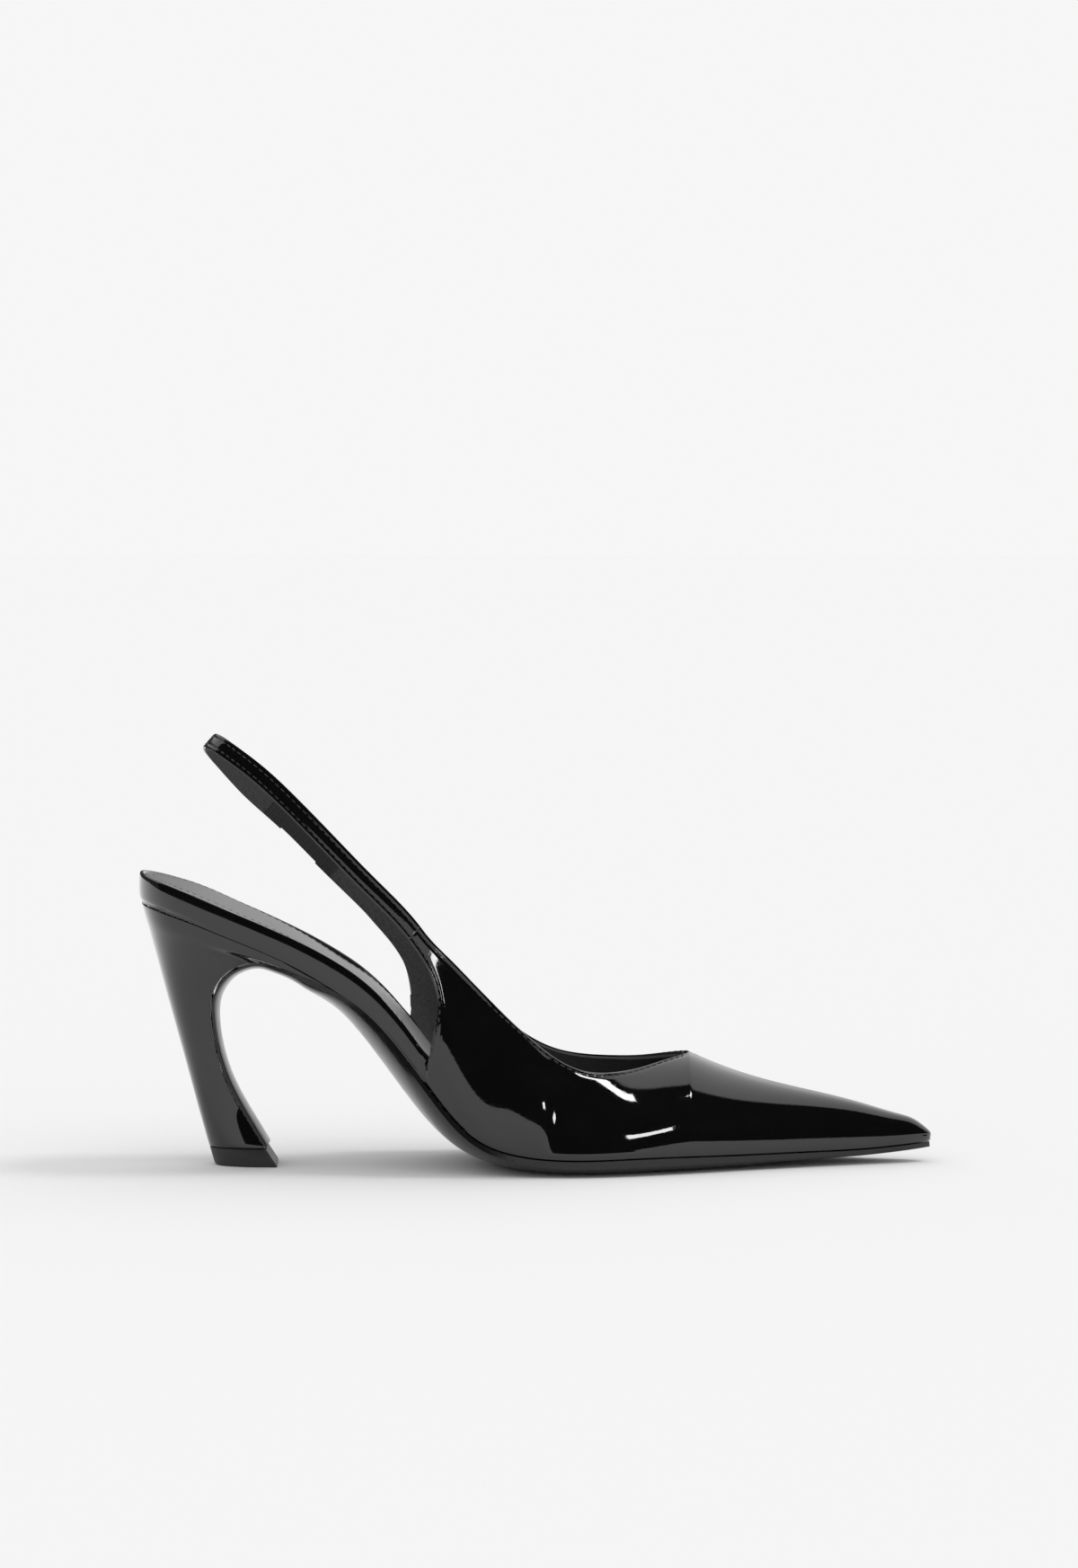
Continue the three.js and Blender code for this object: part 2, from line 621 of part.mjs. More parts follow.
// Heel
const heelSheet = sheet(heelGrid());
piece("heel_cover", leather(heelSheet, 0, HEEL_COVER), PATENT);
const CORE_INSET = 2.1;
const coreRings = heelGrid().map((row) => {
  const front = row[0][0];
  const length = front - row[(row.length - 1) / 2][0];
  const half = row[0][1];
  return row.map(([x, y, z]) => [
    front + (x - front) * (1 - CORE_INSET / length),
    y * (1 - CORE_INSET / Math.abs(half)),
    z - 0.1,
  ]);
});
const tubeFoot = [-89.6, 0, 8];
const tubeHead = [-101.6, 0, 44];
const pinFoot = [-87.33, 0, 1.2];
const seatNails = [[-84, -9], [-84, 9], [-106, -8], [-106, 8]];
const seatNormal = new THREE.Vector3(-0.43, 0, -0.9).normalize(); // into the heel
const seatPoint = (x, y, n) => [x, y, above(x, n)];
const driven = (start, length) =>
  new THREE.Vector3().fromArray(start).addScaledVector(seatNormal, length).toArray();
const heelScrewStart = seatPoint(-95, 0, 4.2);
const nailHeads = seatNails.map(([x, y]) => seatPoint(x, y, 4.1));
const clearanceTools = [
  bar(1.2 + GAP, driven(heelScrewStart, -3), driven(heelScrewStart, 17)),
  bar(2.6 + GAP, driven(heelScrewStart, -3), driven(heelScrewStart, 1.5)),
  ...nailHeads.map((head) => bar(0.7 + GAP, driven(head, -3), driven(head, 12), 10)),
];
piece(
  "heel_core",
  drill(loft(coreRings), [
    bar(2.5 + GAP, [-88.3, 0, 4], tubeHead.map((v, i) => v + [-0.2, 0, 0.6][i])),
    ...clearanceTools,
  ]),
  RESIN,
);
const tubeLength = Math.hypot(tubeHead[0] - tubeFoot[0], tubeHead[2] - tubeFoot[2]);
piece(
  "heel_reinforcing_tube",
  turned([[1.6, 0], [2.5, 0], [2.5, tubeLength], [1.6, tubeLength], [1.6, 0]], tubeFoot, tubeHead, 20),
  STEEL,
);
piece("top_lift_pin", bar(1.2, pinFoot, [-93.03, 0, 18.3], 12), STEEL);
const liftOutline = (z, inset) => {
  const front = -80.2 + 3.5 * (1 - z / TOP_LIFT_HEIGHT) + 0.3;
  const back = -95.1 - (1.6 * z) / TOP_LIFT_HEIGHT;
  const row = [];
  for (let i = -8; i <= 8; i++) {
    const turn = (Math.PI / 2) * (1 - Math.abs(i) / 8) ** 1.4;
    const p = Math.sin(turn) ** (2 / 2.6);
    row.push([front + (back - front) * p, Math.sign(i) * Math.cos(turn) * (9.6 - inset), z]);
  }
  return row;
};
const topLift = loft([liftOutline(0, 0.3), liftOutline(2.7, 0), liftOutline(TOP_LIFT_HEIGHT, 0)]);
const pinHole = bar(1.2 + GAP, [-87.23, 0, 0.9], [-89.93, 0, 9], 12);
piece("top_lift", drill(topLift, [pinHole]), RUBBER);

// Bottom
piece("outsole", loft(soleRings()), SOLE);
const flat = (n) => (x) => above(x, n);
const toeInset = (inset) => (x) => inset + 1.3 * ease(72, 80, x); // room for the toe puff
const rivetAxis = (x) => {
  const slope = featherZ(x + 0.5) - featherZ(x - 0.5);
  return new THREE.Vector3(-slope, 0, 1).normalize();
};
const rivet = (x, radius, from, to) => {
  const foot = new THREE.Vector3(...seatPoint(x, 0, 0));
  const at = (n) => foot.clone().addScaledVector(rivetAxis(x), n).toArray();
  return bar(radius, at(from), at(to), 12);
};
const RIVETS = [-30, -66];
const rivetHoles = RIVETS.map((x) => rivet(x, 1.3 + GAP, -0.3, 4.6));
piece("bottom_filler", slab(2, 88, LASTING_MARGIN + 1, flat(0.15), flat(1.05)), FOAM);
piece(
  "insole_board",
  drill(slab(-113.5, 107.5, toeInset(2.7), flat(1.35), flat(1.35 + BOARD)), [...clearanceTools, ...rivetHoles]),
  FIBRE,
);
piece(
  "shank_board",
  drill(slab(-113, -17.7, 2.9, (x) => above(x, 2.85 + 0.7 * ease(-28, -19, x)), flat(2.85 + BOARD)), [...clearanceTools, ...rivetHoles]),
  FIBRE,
);
const shankRings = STATIONS.filter((x) => x >= -70 && x <= -3).map((x) => {
  const half = 5.5 - 0.04 * Math.abs(x + 38);
  const low = above(x, 0.15);
  const high = above(x, 1.05);
  return [[x, -half, low], [x, 0, low], [x, half, low], [x, half, high], [x, 0, high], [x, -half, high]];
});
piece("shank_spring", drill(loft(shankRings), rivetHoles), STEEL);
RIVETS.forEach((x, i) => piece(`shank_rivet_${i + 1}`, rivet(x, 1.3, 0.2, 4.15), STEEL));
const screw = join([
  bar(1.2, heelScrewStart, driven(heelScrewStart, 16)),
  bar(2.6, heelScrewStart, driven(heelScrewStart, 1.2)),
]);
piece("heel_screw", screw, STEEL);
nailHeads.forEach((head, i) => {
  piece(`heel_nail_${i + 1}`, bar(0.7, head, driven(head, 11), 8), STEEL);
});

const bandTop = smooth([
  [-117, 86.8], [-104.8, 82.7], [-88.3, 75.9], [-74.1, 69.6], [-58.7, 61.4], [-51, 56],
  [-41.2, 46], [-32.3, 34],
]);
function randRing(x, side) {
  const half = halfWidth(side, x);
  const step = 0.4;
  const turn = new THREE.Vector2(1, 0);
  if (x < SEAT_BACK_X + 0.01) turn.set(-1, 0);
  else {
    const slope = (halfWidth(side, x + step) - halfWidth(side, Math.max(SEAT_BACK_X, x - step)))
      / (x + step - Math.max(SEAT_BACK_X, x - step));
    turn.set(-slope, 1).normalize();
  }
  const at = (inward, z) => [x - turn.x * inward, side * (half - turn.y * inward), z];
  const low = above(x, 0.15);
  const high = bandTop(x);
  return [at(0, low), at(0, high - 0.5), at(0.3, high), at(RAND - 0.2, high), at(RAND, high - 0.4), at(RAND, low)];
}
const randStations = [-38, -45, -53, -62, -71, -80, -88, -95, -101, -106, -110, -113, -115.2, -116.5];
const randPath = [
  randRing(-34.4, LATERAL), ...randStations.map((x) => randRing(x, LATERAL)),
  randRing(SEAT_BACK_X, MEDIAL),
  ...[...randStations].reverse().filter((x) => x < -40).map((x) => randRing(x, MEDIAL)),
  randRing(-40, MEDIAL),
];
piece("insole_rand", loft(randPath), PATENT);

const sockHeight = smooth([
  [-117, 7.9], [-95, 7.4], [-75, 6.6], [-50, 5.8], [-34, 5.6], [-16, 5.4], [4, 4.3], [20, 4.05], [117, 4.05],
]);
const sockTop = (x) => above(x, sockHeight(x));
const sockBottom = (x) => above(x, sockHeight(x) - SOCK);
piece("sock_lining", slab(-114.6, 105, toeInset(2.6), sockBottom, sockTop), SOCK_LEATHER);
piece(
  "heel_pad_foam",
  slab(-112, -74, 4, flat(4.5), (x) => above(x, sockHeight(x) - SOCK - GAP)),
  FOAM,
);

export default shoe;
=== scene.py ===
import bpy
import bmesh
import math
import numpy as np
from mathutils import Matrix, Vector


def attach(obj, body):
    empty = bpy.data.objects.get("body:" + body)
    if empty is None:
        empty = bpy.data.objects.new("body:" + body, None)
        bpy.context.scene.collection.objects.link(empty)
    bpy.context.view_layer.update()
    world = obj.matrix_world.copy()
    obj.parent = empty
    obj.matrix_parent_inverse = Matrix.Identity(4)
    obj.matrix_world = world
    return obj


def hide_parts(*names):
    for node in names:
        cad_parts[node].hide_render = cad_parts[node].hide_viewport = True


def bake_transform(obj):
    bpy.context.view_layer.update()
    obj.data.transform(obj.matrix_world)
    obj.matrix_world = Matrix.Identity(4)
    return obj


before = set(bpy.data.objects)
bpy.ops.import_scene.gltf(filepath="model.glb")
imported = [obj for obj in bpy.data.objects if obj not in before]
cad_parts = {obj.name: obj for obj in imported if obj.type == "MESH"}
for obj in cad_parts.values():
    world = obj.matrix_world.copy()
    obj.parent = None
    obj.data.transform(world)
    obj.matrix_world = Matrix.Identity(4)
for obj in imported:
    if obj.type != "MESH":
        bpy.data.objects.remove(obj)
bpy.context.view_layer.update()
mm = 0.001
lateral, medial = -1, 1

view = dict(place=(-0.042, -1.599, 0.2), aim=(0.0006, 0, 0.1122), lens=124.8)
cameraData = bpy.data.cameras.new("camera")
cameraData.lens = view["lens"]
cameraData.clip_end = 50
camera = bpy.data.objects.new("camera", cameraData)
camera.location = view["place"]
camera.rotation_euler = (Vector(view["aim"]) - Vector(view["place"])).to_track_quat("-Z", "Y").to_euler()
bpy.context.scene.collection.objects.link(camera)
bpy.context.scene.camera = camera


# curves

def smooth(points):  # natural cubic spline through (x, value) pairs by rising x
    xs = np.array([p[0] for p in points], float)
    vs = np.array([p[1] for p in points], float)
    n = len(xs)
    h = np.diff(xs)
    system = np.eye(n)
    right = np.zeros(n)
    for i in range(1, n - 1):
        system[i, i - 1:i + 2] = [h[i - 1], 2 * (h[i - 1] + h[i]), h[i]]
        right[i] = 6 * ((vs[i + 1] - vs[i]) / h[i] - (vs[i] - vs[i - 1]) / h[i - 1])
    bend = np.linalg.solve(system, right)

    def value(x):
        x = np.asarray(x, float)
        i = np.clip(np.searchsorted(xs, x) - 1, 0, n - 2)
        a = (xs[i + 1] - x) / h[i]
        b = 1 - a
        inside = a * vs[i] + b * vs[i + 1] + ((a**3 - a) * bend[i] + (b**3 - b) * bend[i + 1]) * h[i]**2 / 6
        before = vs[0] + (x - xs[0]) * ((vs[1] - vs[0]) / h[0] - h[0] * bend[1] / 6)
        after = vs[-1] + (x - xs[-1]) * ((vs[-1] - vs[-2]) / h[-1] + h[-1] * bend[-2] / 6)
        return np.where(x < xs[0], before, np.where(x > xs[-1], after, inside))
    return value


def ease(low, high, x):  # 0 at low to 1 at high, either way round
    t = np.clip((np.asarray(x, float) - low) / (high - low), 0, 1)
    return t * t * (3 - 2 * t)


def path3(points, count, spacing=None):  # points evenly along a smooth curve through the given ones
    points = np.array(points, float)
    measured = points if spacing is None else spacing
    steps = np.concatenate([[0], np.cumsum(np.linalg.norm(np.diff(measured, axis=0), axis=1))])
    axes = [smooth(list(zip(steps, points[:, k]))) for k in range(points.shape[1])]
    at = np.linspace(0, steps[-1], count)
    return np.stack([axis(at) for axis in axes], axis=1)


featherZ = smooth([
    (-116.5, 78.3), (-104.8, 74.9), (-90.9, 69.4), (-71.4, 60.6), (-60, 53.8), (-50.8, 47.2),
    (-41.5, 37.2), (-33.4, 26.7), (-27.7, 19.3), (-22.4, 13.6), (-17.7, 10.1), (-11.8, 7.5),
    (-4.5, 5.9), (5, 5.05), (29, 5.05), (55, 4.7), (80, 4.5), (96, 4.6), (108, 5.3), (117, 6.1)])


def above(x, n):  # height a distance n square to the feather line
    slope = featherZ(np.asarray(x) + 0.5) - featherZ(np.asarray(x) - 0.5)
    return featherZ(x) + n * np.sqrt(1 + slope**2)


sideOutline = {
    lateral: smooth([(-80, 23.5), (-65, 22), (-50, 23), (-35, 27.3), (-20, 32.8), (-5, 36.7),
                     (10, 38), (22, 36.4), (35, 32.3), (50, 26.3), (65, 20), (80, 14), (95, 8.6),
                     (105, 5.4), (119, 1.2)]),
    medial: smooth([(-80, 23.5), (-65, 21.4), (-50, 20.8), (-35, 24.4), (-20, 29.8), (-5, 34.2),
                    (10, 36.8), (22, 36.9), (35, 34.6), (50, 29.6), (65, 23.5), (80, 17.5),
                    (95, 11.7), (105, 8.3), (119, 4)])}
outline = dict(tipX=117, tipY=1.5, backX=-117, roundX=-95, seatHalf=24.5)


def toeCentre(x):
    return outline["tipY"] * ease(55, outline["tipX"], x)


def halfWidth(side, x):
    x = np.asarray(x, float)
    q = np.clip((outline["roundX"] - x) / (outline["roundX"] - outline["backX"]), 0, 1)
    seat = outline["seatHalf"] * np.sqrt(1 - q * q)
    heel = 23.5 + (outline["seatHalf"] - 23.5) * ease(-80, outline["roundX"], x)
    q = np.clip((x - 107) / (outline["tipX"] - 107), 0, 1)
    centre = side * toeCentre(x)
    front = centre + (sideOutline[side](x) - centre) * np.sqrt(1 - q**3)
    return np.where(x < outline["roundX"], seat, np.where(x < -80, heel, front))


# mesh making

def makeMesh(name, points, faces):
    mesh = bpy.data.meshes.new(name)
    mesh.from_pydata([tuple(float(v) * mm for v in p) for p in points], [], [tuple(f) for f in faces])
    mesh.validate()
    mesh.shade_smooth()
    piece = bpy.data.objects.new(name, mesh)
    bpy.context.scene.collection.objects.link(piece)
    return piece


def outward(piece, openSheet=False):
    shape = bmesh.new()
    shape.from_mesh(piece.data)
    bmesh.ops.remove_doubles(shape, verts=shape.verts, dist=2e-6)
    bmesh.ops.recalc_face_normals(shape, faces=shape.faces)
    if openSheet:  # the face furthest to the side has to look that way
        side = min(shape.faces, key=lambda f: f.calc_center_median().y)
        if side.normal.y > 0:
            bmesh.ops.reverse_faces(shape, faces=shape.faces)
    shape.to_mesh(piece.data)
    shape.free()


def finished(piece, sharp=32):  # bakes the modifiers into the mesh
    graph = bpy.context.evaluated_depsgraph_get()
    mesh = bpy.data.meshes.new_from_object(piece.evaluated_get(graph))
    piece.modifiers.clear()
    old = piece.data
    piece.data = mesh
    bpy.data.meshes.remove(old)
    mesh.shade_smooth()
    mesh.set_sharp_from_angle(angle=math.radians(sharp))
    return piece


def gridFaces(rows, columns, closed=False):
    faces = []
    for r in range(rows - 1):
        for c in range(columns if closed else columns - 1):
            d = (c + 1) % columns
            a, b = r * columns, (r + 1) * columns
            faces.append((a + c, a + d, b + d, b + c))
    return faces


def loft(name, rings, sharp=32):  # closed body through rings of equal length
    rings = [np.array(ring) for ring in rings]
    count = len(rings[0])
    points = np.concatenate(rings)
    faces = gridFaces(len(rings), count, closed=True)
    for start in (0, (len(rings) - 1) * count):
        for i in range(count // 2 - 1):
            low, high = start + i, start + count - 1 - i
            faces.append((low, low + 1, high - 1, high))
    piece = makeMesh(name, points, faces)
    outward(piece)
    piece.data.shade_smooth()
    piece.data.set_sharp_from_angle(angle=math.radians(sharp))
    return piece


def thicken(piece, thickness, rim=0.2, sharp=40):  # leather: a wall under the sheet, soft cut edges
    wall = piece.modifiers.new("wall", "SOLIDIFY")
    wall.thickness = thickness * mm
    wall.offset = -1
    wall.use_even_offset = False
    if rim:
        edge = piece.modifiers.new("edge", "BEVEL")
        edge.width = rim * mm
        edge.segments = 3
        edge.limit_method = "ANGLE"
        edge.angle_limit = math.radians(50)
    return finished(piece, sharp)


# foot opening and the arch of the upper
upper = dict(thickness=0.9, liningDepth=0.93, liningThickness=0.8, foot=2.2, throatX=44.7, stitchInset=1.25,
             stitchPitch=2.3, nose=(117.2, 1.5, 6.6), pull=0.5, rearHalf=28, belly=1.4, rearBelly=15)
throatHalf = smooth([(0, 0), (1, 3.2), (2, 6.7), (3.32, 12.3), (4.1, 17), (4.7, 21.4), (5.3, 24.6),
                     (5.83, 26.4), (6.53, 27.9)])
topEdgeZ = {
    lateral: smooth([(-60, 98), (-47, 85), (-36.3, 73.9), (-30.3, 67.5), (-20.2, 57.1),
                     (-9.3, 46.1), (-2, 39.4), (5.3, 33.7), (13.2, 30.1), (21.4, 29.3), (29.4, 30),
                     (38, 31.9), (44.7, 33.1)]),
    medial: smooth([(-73, 99.2), (-62, 88.8), (-44.3, 72.7), (-35, 64.1), (-25, 54.7), (-15, 45.6),
                    (-6, 38.1), (1.4, 33.4), (6.6, 31.3), (12.1, 30.2), (22.9, 29.9), (33.4, 31.1),
                    (40.4, 32.4), (44.7, 33.1)])}
ridgeZ = smooth([(44.7, 33.1), (53.8, 29.2), (64.5, 25.5), (75.1, 22.7), (85.8, 20.2),
                 (96.5, 17.4), (107.2, 14.2), (112.6, 12.2), (117, 8.6)])
shoulder = smooth([(-10, 0.6), (10, 0.36), (25, 0.32), (45, 0.44), (70, 0.52), (95, 0.6), (117, 0.6)])
swell = smooth([(0, 1.6), (30, 1.8), (60, 1.4), (90, 0.7), (117, 0.2)])
wallTopHalf = smooth([(-60, 26.5), (-50, 28.2), (-38, 29.4), (-20, 29.8), (-8, 28.8), (2, 27.9)])


def archY(side, x, t):
    v = halfWidth(side, x) - side * toeCentre(x)
    s = 1 - t
    reach = s**3 * v + 3 * s * s * t * (v + swell(x)) + 3 * s * t * t * v * shoulder(x)
    return toeCentre(x) + side * reach


def archShare(t):
    s = 1 - t
    return 1.5 * s * s * t + 3 * s * t * t + t**3


def archRow(side, x, shares):  # from the feather line to the ridge or the top edge
    foot = float(above(x, upper["foot"]))
    end, rise = 1.0, float(ridgeZ(x)) - foot
    if x < upper["throatX"] - 1e-6:
        half = float(throatHalf(math.sqrt(upper["throatX"] - x)))
        low, high = 0.0, 1.0
        for _ in range(40):
            middle = (low + high) / 2
            if abs(float(archY(side, x, middle))) > half:
                low = middle
            else:
                high = middle
        end = (low + high) / 2
        rise = (float(topEdgeZ[side](x)) - foot) / archShare(end)
    t = end * shares
    y, z = archY(side, x, t), foot + rise * archShare(t)
    # beside the foot opening the wall is pulled nearly straight
    straight = y[0] + (y[-1] - y[0]) * (z - foot) / (z[-1] - foot)
    pull = upper["pull"] * float(ease(-6, 4, x) * (1 - ease(5, upper["throatX"], x)))
    return np.stack([np.full_like(t, x), y + (straight - y) * pull, z], axis=1)


def wallY(side, x, z):
    foot = above(x, upper["foot"])
    v = np.clip((z - foot) / (topEdgeZ[side](x) - foot), 0, 1)
    base = np.where(x < -40, min(float(halfWidth(side, -40)) + 1, upper["rearHalf"]), halfWidth(side, x))
    forward = base + (wallTopHalf(x) - base) * v * v + upper["belly"] * np.sin(math.pi * v)
    # towards the back the wall is fullest low down, where it turns under the foot
    rear = base + (wallTopHalf(x) - base) * v * (2 - v) + upper["rearBelly"] * v * (1 - v)**2
    return side * (forward + (rear - forward) * ease(-6, -22, x))


# side wall ribs behind x = 2, as in the design: lower x, lower z on the rear edge, upper x
wallRibs = {
    lateral: [(2, None, 2), (-8, None, -4), (-17.7, None, -9.5), (-26, None, -14), (-33.2, None, -18.5),
              (-31.3, 38, -20.5), (-29.6, 46, -22.8), (-30.2, 54, -25.4), (-32.4, 61, -28.2)],
    medial: [(2, None, 2), (-8, None, -5), (-17.7, None, -11), (-26, None, -17), (-33.2, None, -22.5),
             (-38.2, None, -26.5), (-37.2, 43, -29.5), (-37.6, 50, -32.6), (-39.2, 56.6, -35.8),
             (-41.9, 61.2, -38.5)]}
cornerRib = {lateral: 4, medial: 5}
slingPoints = [
    (-32.6, -30, 60.4), (-37.9, -29.8, 68.4), (-51.5, -28.4, 82.9), (-62, -26.4, 93.6),
    (-73.3, -22.8, 105), (-84, -17.4, 114.7), (-91.6, -11.8, 120.2), (-96.9, -5, 123.3),
    (-98.5, 0.5, 123.2), (-97.7, 6, 121), (-94.7, 11.6, 117), (-87.7, 18, 108.8),
    (-76.4, 23.8, 98), (-65.9, 27.2, 87.2), (-57, 28.9, 78.3), (-49.5, 29.6, 70.6), (-42.8, 29.9, 62.3)]
sling = dict(width=5.2, across=np.array([0.66, 0, 0.75]) / math.hypot(0.66, 0.75),
             loopStart=1.0, elasticRear=12, elasticFront=13, middle=(-60, 0, 97),
             rootGuides={lateral: [0.85, 1.0], medial: [15.25, 14.8, 14.3, 13.8, 13.4, 13]})
slingSteps = np.concatenate([[0], np.cumsum(np.linalg.norm(np.diff(np.array(slingPoints), axis=0), axis=1))])
slingAxes = [smooth(list(zip(slingSteps, np.array(slingPoints)[:, k]))) for k in range(3)]


def slingLength(index):  # length along the strap at a numbered point of its path
    low = int(min(index, len(slingSteps) - 2))
    return slingSteps[low] + (slingSteps[low + 1] - slingSteps[low]) * (index - low)


def slingEdge(length):
    return np.stack([axis(length) for axis in slingAxes], axis=-1)


edgeShares = np.array([0, 0.35, 0.75, 1.1, 1.4, 1.75, 2.2, 3])  # millimetres in from a sewn edge


def crossShares(count, length=40):  # columns packed near both sewn edges
    near = edgeShares / length
    middle = np.linspace(near[-1], 1 - near[-1], count)[1:-1]
    return np.concatenate([near, middle, 1 - near[::-1]])


def wallParameters(side, position):  # lower and upper rib ends at a fractional rib number
    ribs = wallRibs[side]
    corner = cornerRib[side]
    low = np.array([(r[0], float(above(r[0], upper["foot"])) if r[1] is None else r[1]) for r in ribs])
    numbers = np.arange(len(ribs))
    highX = float(smooth(list(zip(numbers, [r[2] for r in ribs])))(position))
    part = slice(0, corner + 1) if position <= corner else slice(corner, None)
    lowX = float(smooth(list(zip(numbers[part], low[part, 0])))(position))
    if position <= corner:
        lowZ = float(above(lowX, upper["foot"]))
    else:
        lowZ = float(smooth(list(zip(numbers[part], low[part, 1])))(position))
    return lowX, lowZ, highX, float(topEdgeZ[side](highX))


frontX = np.concatenate([[116.7, 116.2, 115.5], np.linspace(114.8, 100, 16), np.linspace(98.5, 46, 42)])
backX = np.concatenate([44.7 - np.array([0.06, 0.3, 0.8, 1.5, 2.4]), np.linspace(41.3, 3, 34)])


def flankRows(side, columns):
    shares = crossShares(columns)
    front = [archRow(side, x, shares) for x in np.concatenate([frontX, [upper["throatX"]]])]
    back = [archRow(side, x, shares) for x in backX]

    def wallRow(position):
        lowX, lowZ, highX, highZ = wallParameters(side, position)
        x = lowX + (highX - lowX) * shares
        z = lowZ + (highZ - lowZ) * shares
        return np.stack([x, wallY(side, x, z), z], axis=1)

    corner = cornerRib[side]
    back += [wallRow(position) for position in np.linspace(0, corner, 6 * corner + 1)]
    # above the rear corner the wall runs on into the strap root and, on the medial side, the tab
    guides = [wallRow(position) for position in range(corner, len(wallRibs[side]) - 1)]
    for index in sling["rootGuides"][side]:
        edge = slingEdge(slingLength(index))
        guides.append(edge + np.outer(shares, sling["across"]) * sling["width"])
    guides = np.array(guides)
    middle = guides[:, len(shares) // 2]
    length = np.linalg.norm(np.diff(middle, axis=0), axis=1).sum()
    flat = path3(guides.reshape(len(guides), -1), int(length / 0.7), middle)
    back += list(flat.reshape(-1, len(shares), 3)[1:])
    return front, back, shares


evening = dict(rounds=90, inward=0.5, outward=-0.52)


def relax(points, neighbours, free):  # evens the surface without shrinking it
    count = np.zeros(len(points))
    np.add.at(count, neighbours[:, 0], 1)
    np.add.at(count, neighbours[:, 1], 1)
    for step in range(evening["rounds"]):
        total = np.zeros_like(points)
        np.add.at(total, neighbours[:, 0], points[neighbours[:, 1]])
        np.add.at(total, neighbours[:, 1], points[neighbours[:, 0]])
        pull = total / count[:, None] - points
        share = evening["inward"] if step % 2 == 0 else evening["outward"]
        points = points + np.where(free[:, None], pull * share, 0)
    return points


def buildUpperSheet():
    columns = 26
    made = {side: flankRows(side, columns) for side in (lateral, medial)}
    shares = made[lateral][2]
    wide = len(shares)
    points, index = [], {}

    def put(key, p):
        if key not in index:
            index[key] = len(points)
            points.append(p)
        return index[key]

    faces, pinned = [], set()
    for side in (lateral, medial):
        front, back, _ = made[side]
        numbers = []
        for r, row in enumerate(front + back):
            line = []
            for c, p in enumerate(row):
                onRidge = r < len(front) and c == wide - 1
                line.append(put(("ridge", r) if onRidge else (side, r, c), p))
            numbers.append(line)
        for r in range(len(numbers) - 1):
            for c in range(wide - 1):
                quad = (numbers[r][c], numbers[r][c + 1], numbers[r + 1][c + 1], numbers[r + 1][c])
                faces.append(quad if side == lateral else quad[::-1])
        last = len(numbers) - 1
        for r in range(len(numbers)):
            pinned.add(numbers[r][0])
            if r >= len(front) - 1:
                pinned.add(numbers[r][-1])
            if r in (0, last):
                pinned.update(numbers[r])
        made[side] = (numbers, len(front))
    points = np.array(points)
    edges = set()
    for f in faces:
        for a, b in zip(f, f[1:] + f[:1]):
            edges.add((min(a, b), max(a, b)))
    edges = np.array(sorted(edges))
    free = np.ones(len(points), bool)
    free[list(pinned)] = False
    return relax(points, edges, free), faces, made


upperPoints, upperFaces, upperRows = buildUpperSheet()
print("upper sheet", len(upperPoints), "points")


def sheetNormals(points, faces):
    normals = np.zeros_like(points)
    tri = np.array([f for f in faces if len(f) == 4])
    cross = np.cross(points[tri[:, 2]] - points[tri[:, 0]], points[tri[:, 3]] - points[tri[:, 1]])
    for k in range(4):
        np.add.at(normals, tri[:, k], cross)
    length = np.linalg.norm(normals, axis=1)
    return normals / np.maximum(length, 1e-9)[:, None]


upperNormals = sheetNormals(upperPoints, upperFaces)
if upperNormals[np.argmin(upperPoints[:, 1]), 1] > 0:
    upperFaces = [f[::-1] for f in upperFaces]
    upperNormals = -upperNormals


def cornerRow(side):  # the row that ends at the rear foot corner
    return upperRows[side][1] + len(backX) + 6 * cornerRib[side]


def edgeLines():  # boundary rows of the upper's sheet: top edge, rear edges and the strap root
    lines = {}
    for side in (lateral, medial):
        numbers, front = upperRows[side]
        lines[side, "top"] = [row[-1] for row in numbers[front - 1:]]
        lines[side, "rear"] = [row[0] for row in numbers[cornerRow(side):]]
    return lines


upperEdges = edgeLines()


def distanceToLine(points, line):
    best = np.full(len(points), 1e9)
    for a, b in zip(line[:-1], line[1:]):
        ab = b - a
        t = np.clip((points - a) @ ab / max(ab @ ab, 1e-9), 0, 1)
        best = np.minimum(best, np.linalg.norm(points - a - t[:, None] * ab, axis=1))
    return best


sewnDistance = np.full(len(upperPoints), 1e9)
for line in upperEdges.values():
    sewnDistance = np.minimum(sewnDistance, distanceToLine(upperPoints, upperPoints[line]))


quilting = dict(sunk=0.13, sunkWidth=0.42, rolled=0.22, rolledWidth=0.28)


def quilt(distance):  # the leather sinks a little along the stitch row and rolls over at the edge
    sunk = -quilting["sunk"] * np.exp(-((distance - upper["stitchInset"]) / quilting["sunkWidth"])**2)
    rolled = -quilting["rolled"] * np.exp(-(distance / quilting["rolledWidth"])**2)
    return sunk + rolled


shown = upperPoints + upperNormals * quilt(sewnDistance)[:, None]
# the foot of the upper turns in under the feather line
noseEnds = {side: [upperRows[side][0][0][0]] for side in (lateral, medial)}
turnedIn = [(0.12, 1.1), (0.55, 0.35), (1.6, 0.12)]
extraPoints, extraFaces = list(shown), list(upperFaces)
for side in (lateral, medial):
    feet = [row[0] for row in upperRows[side][0][:cornerRow(side) + 1]]
    previous = feet
    for inward, height in turnedIn:
        line = []
        for i in feet:
            x, y, z = upperPoints[i]
            centre = float(toeCentre(x))
            half = abs(y - centre)
            line.append(len(extraPoints))
            y = centre + side * max(0.3 * half, half - inward)
            extraPoints.append(np.array([x, y, float(above(x, height))]))
        for k in range(len(feet) - 1):
            quad = (previous[k], previous[k + 1], line[k + 1], line[k])
            extraFaces.append(quad if side == lateral else quad[::-1])
        previous = line
        noseEnds[side].append(line[0])
nearEnds, farEnds = noseEnds[lateral], noseEnds[medial]
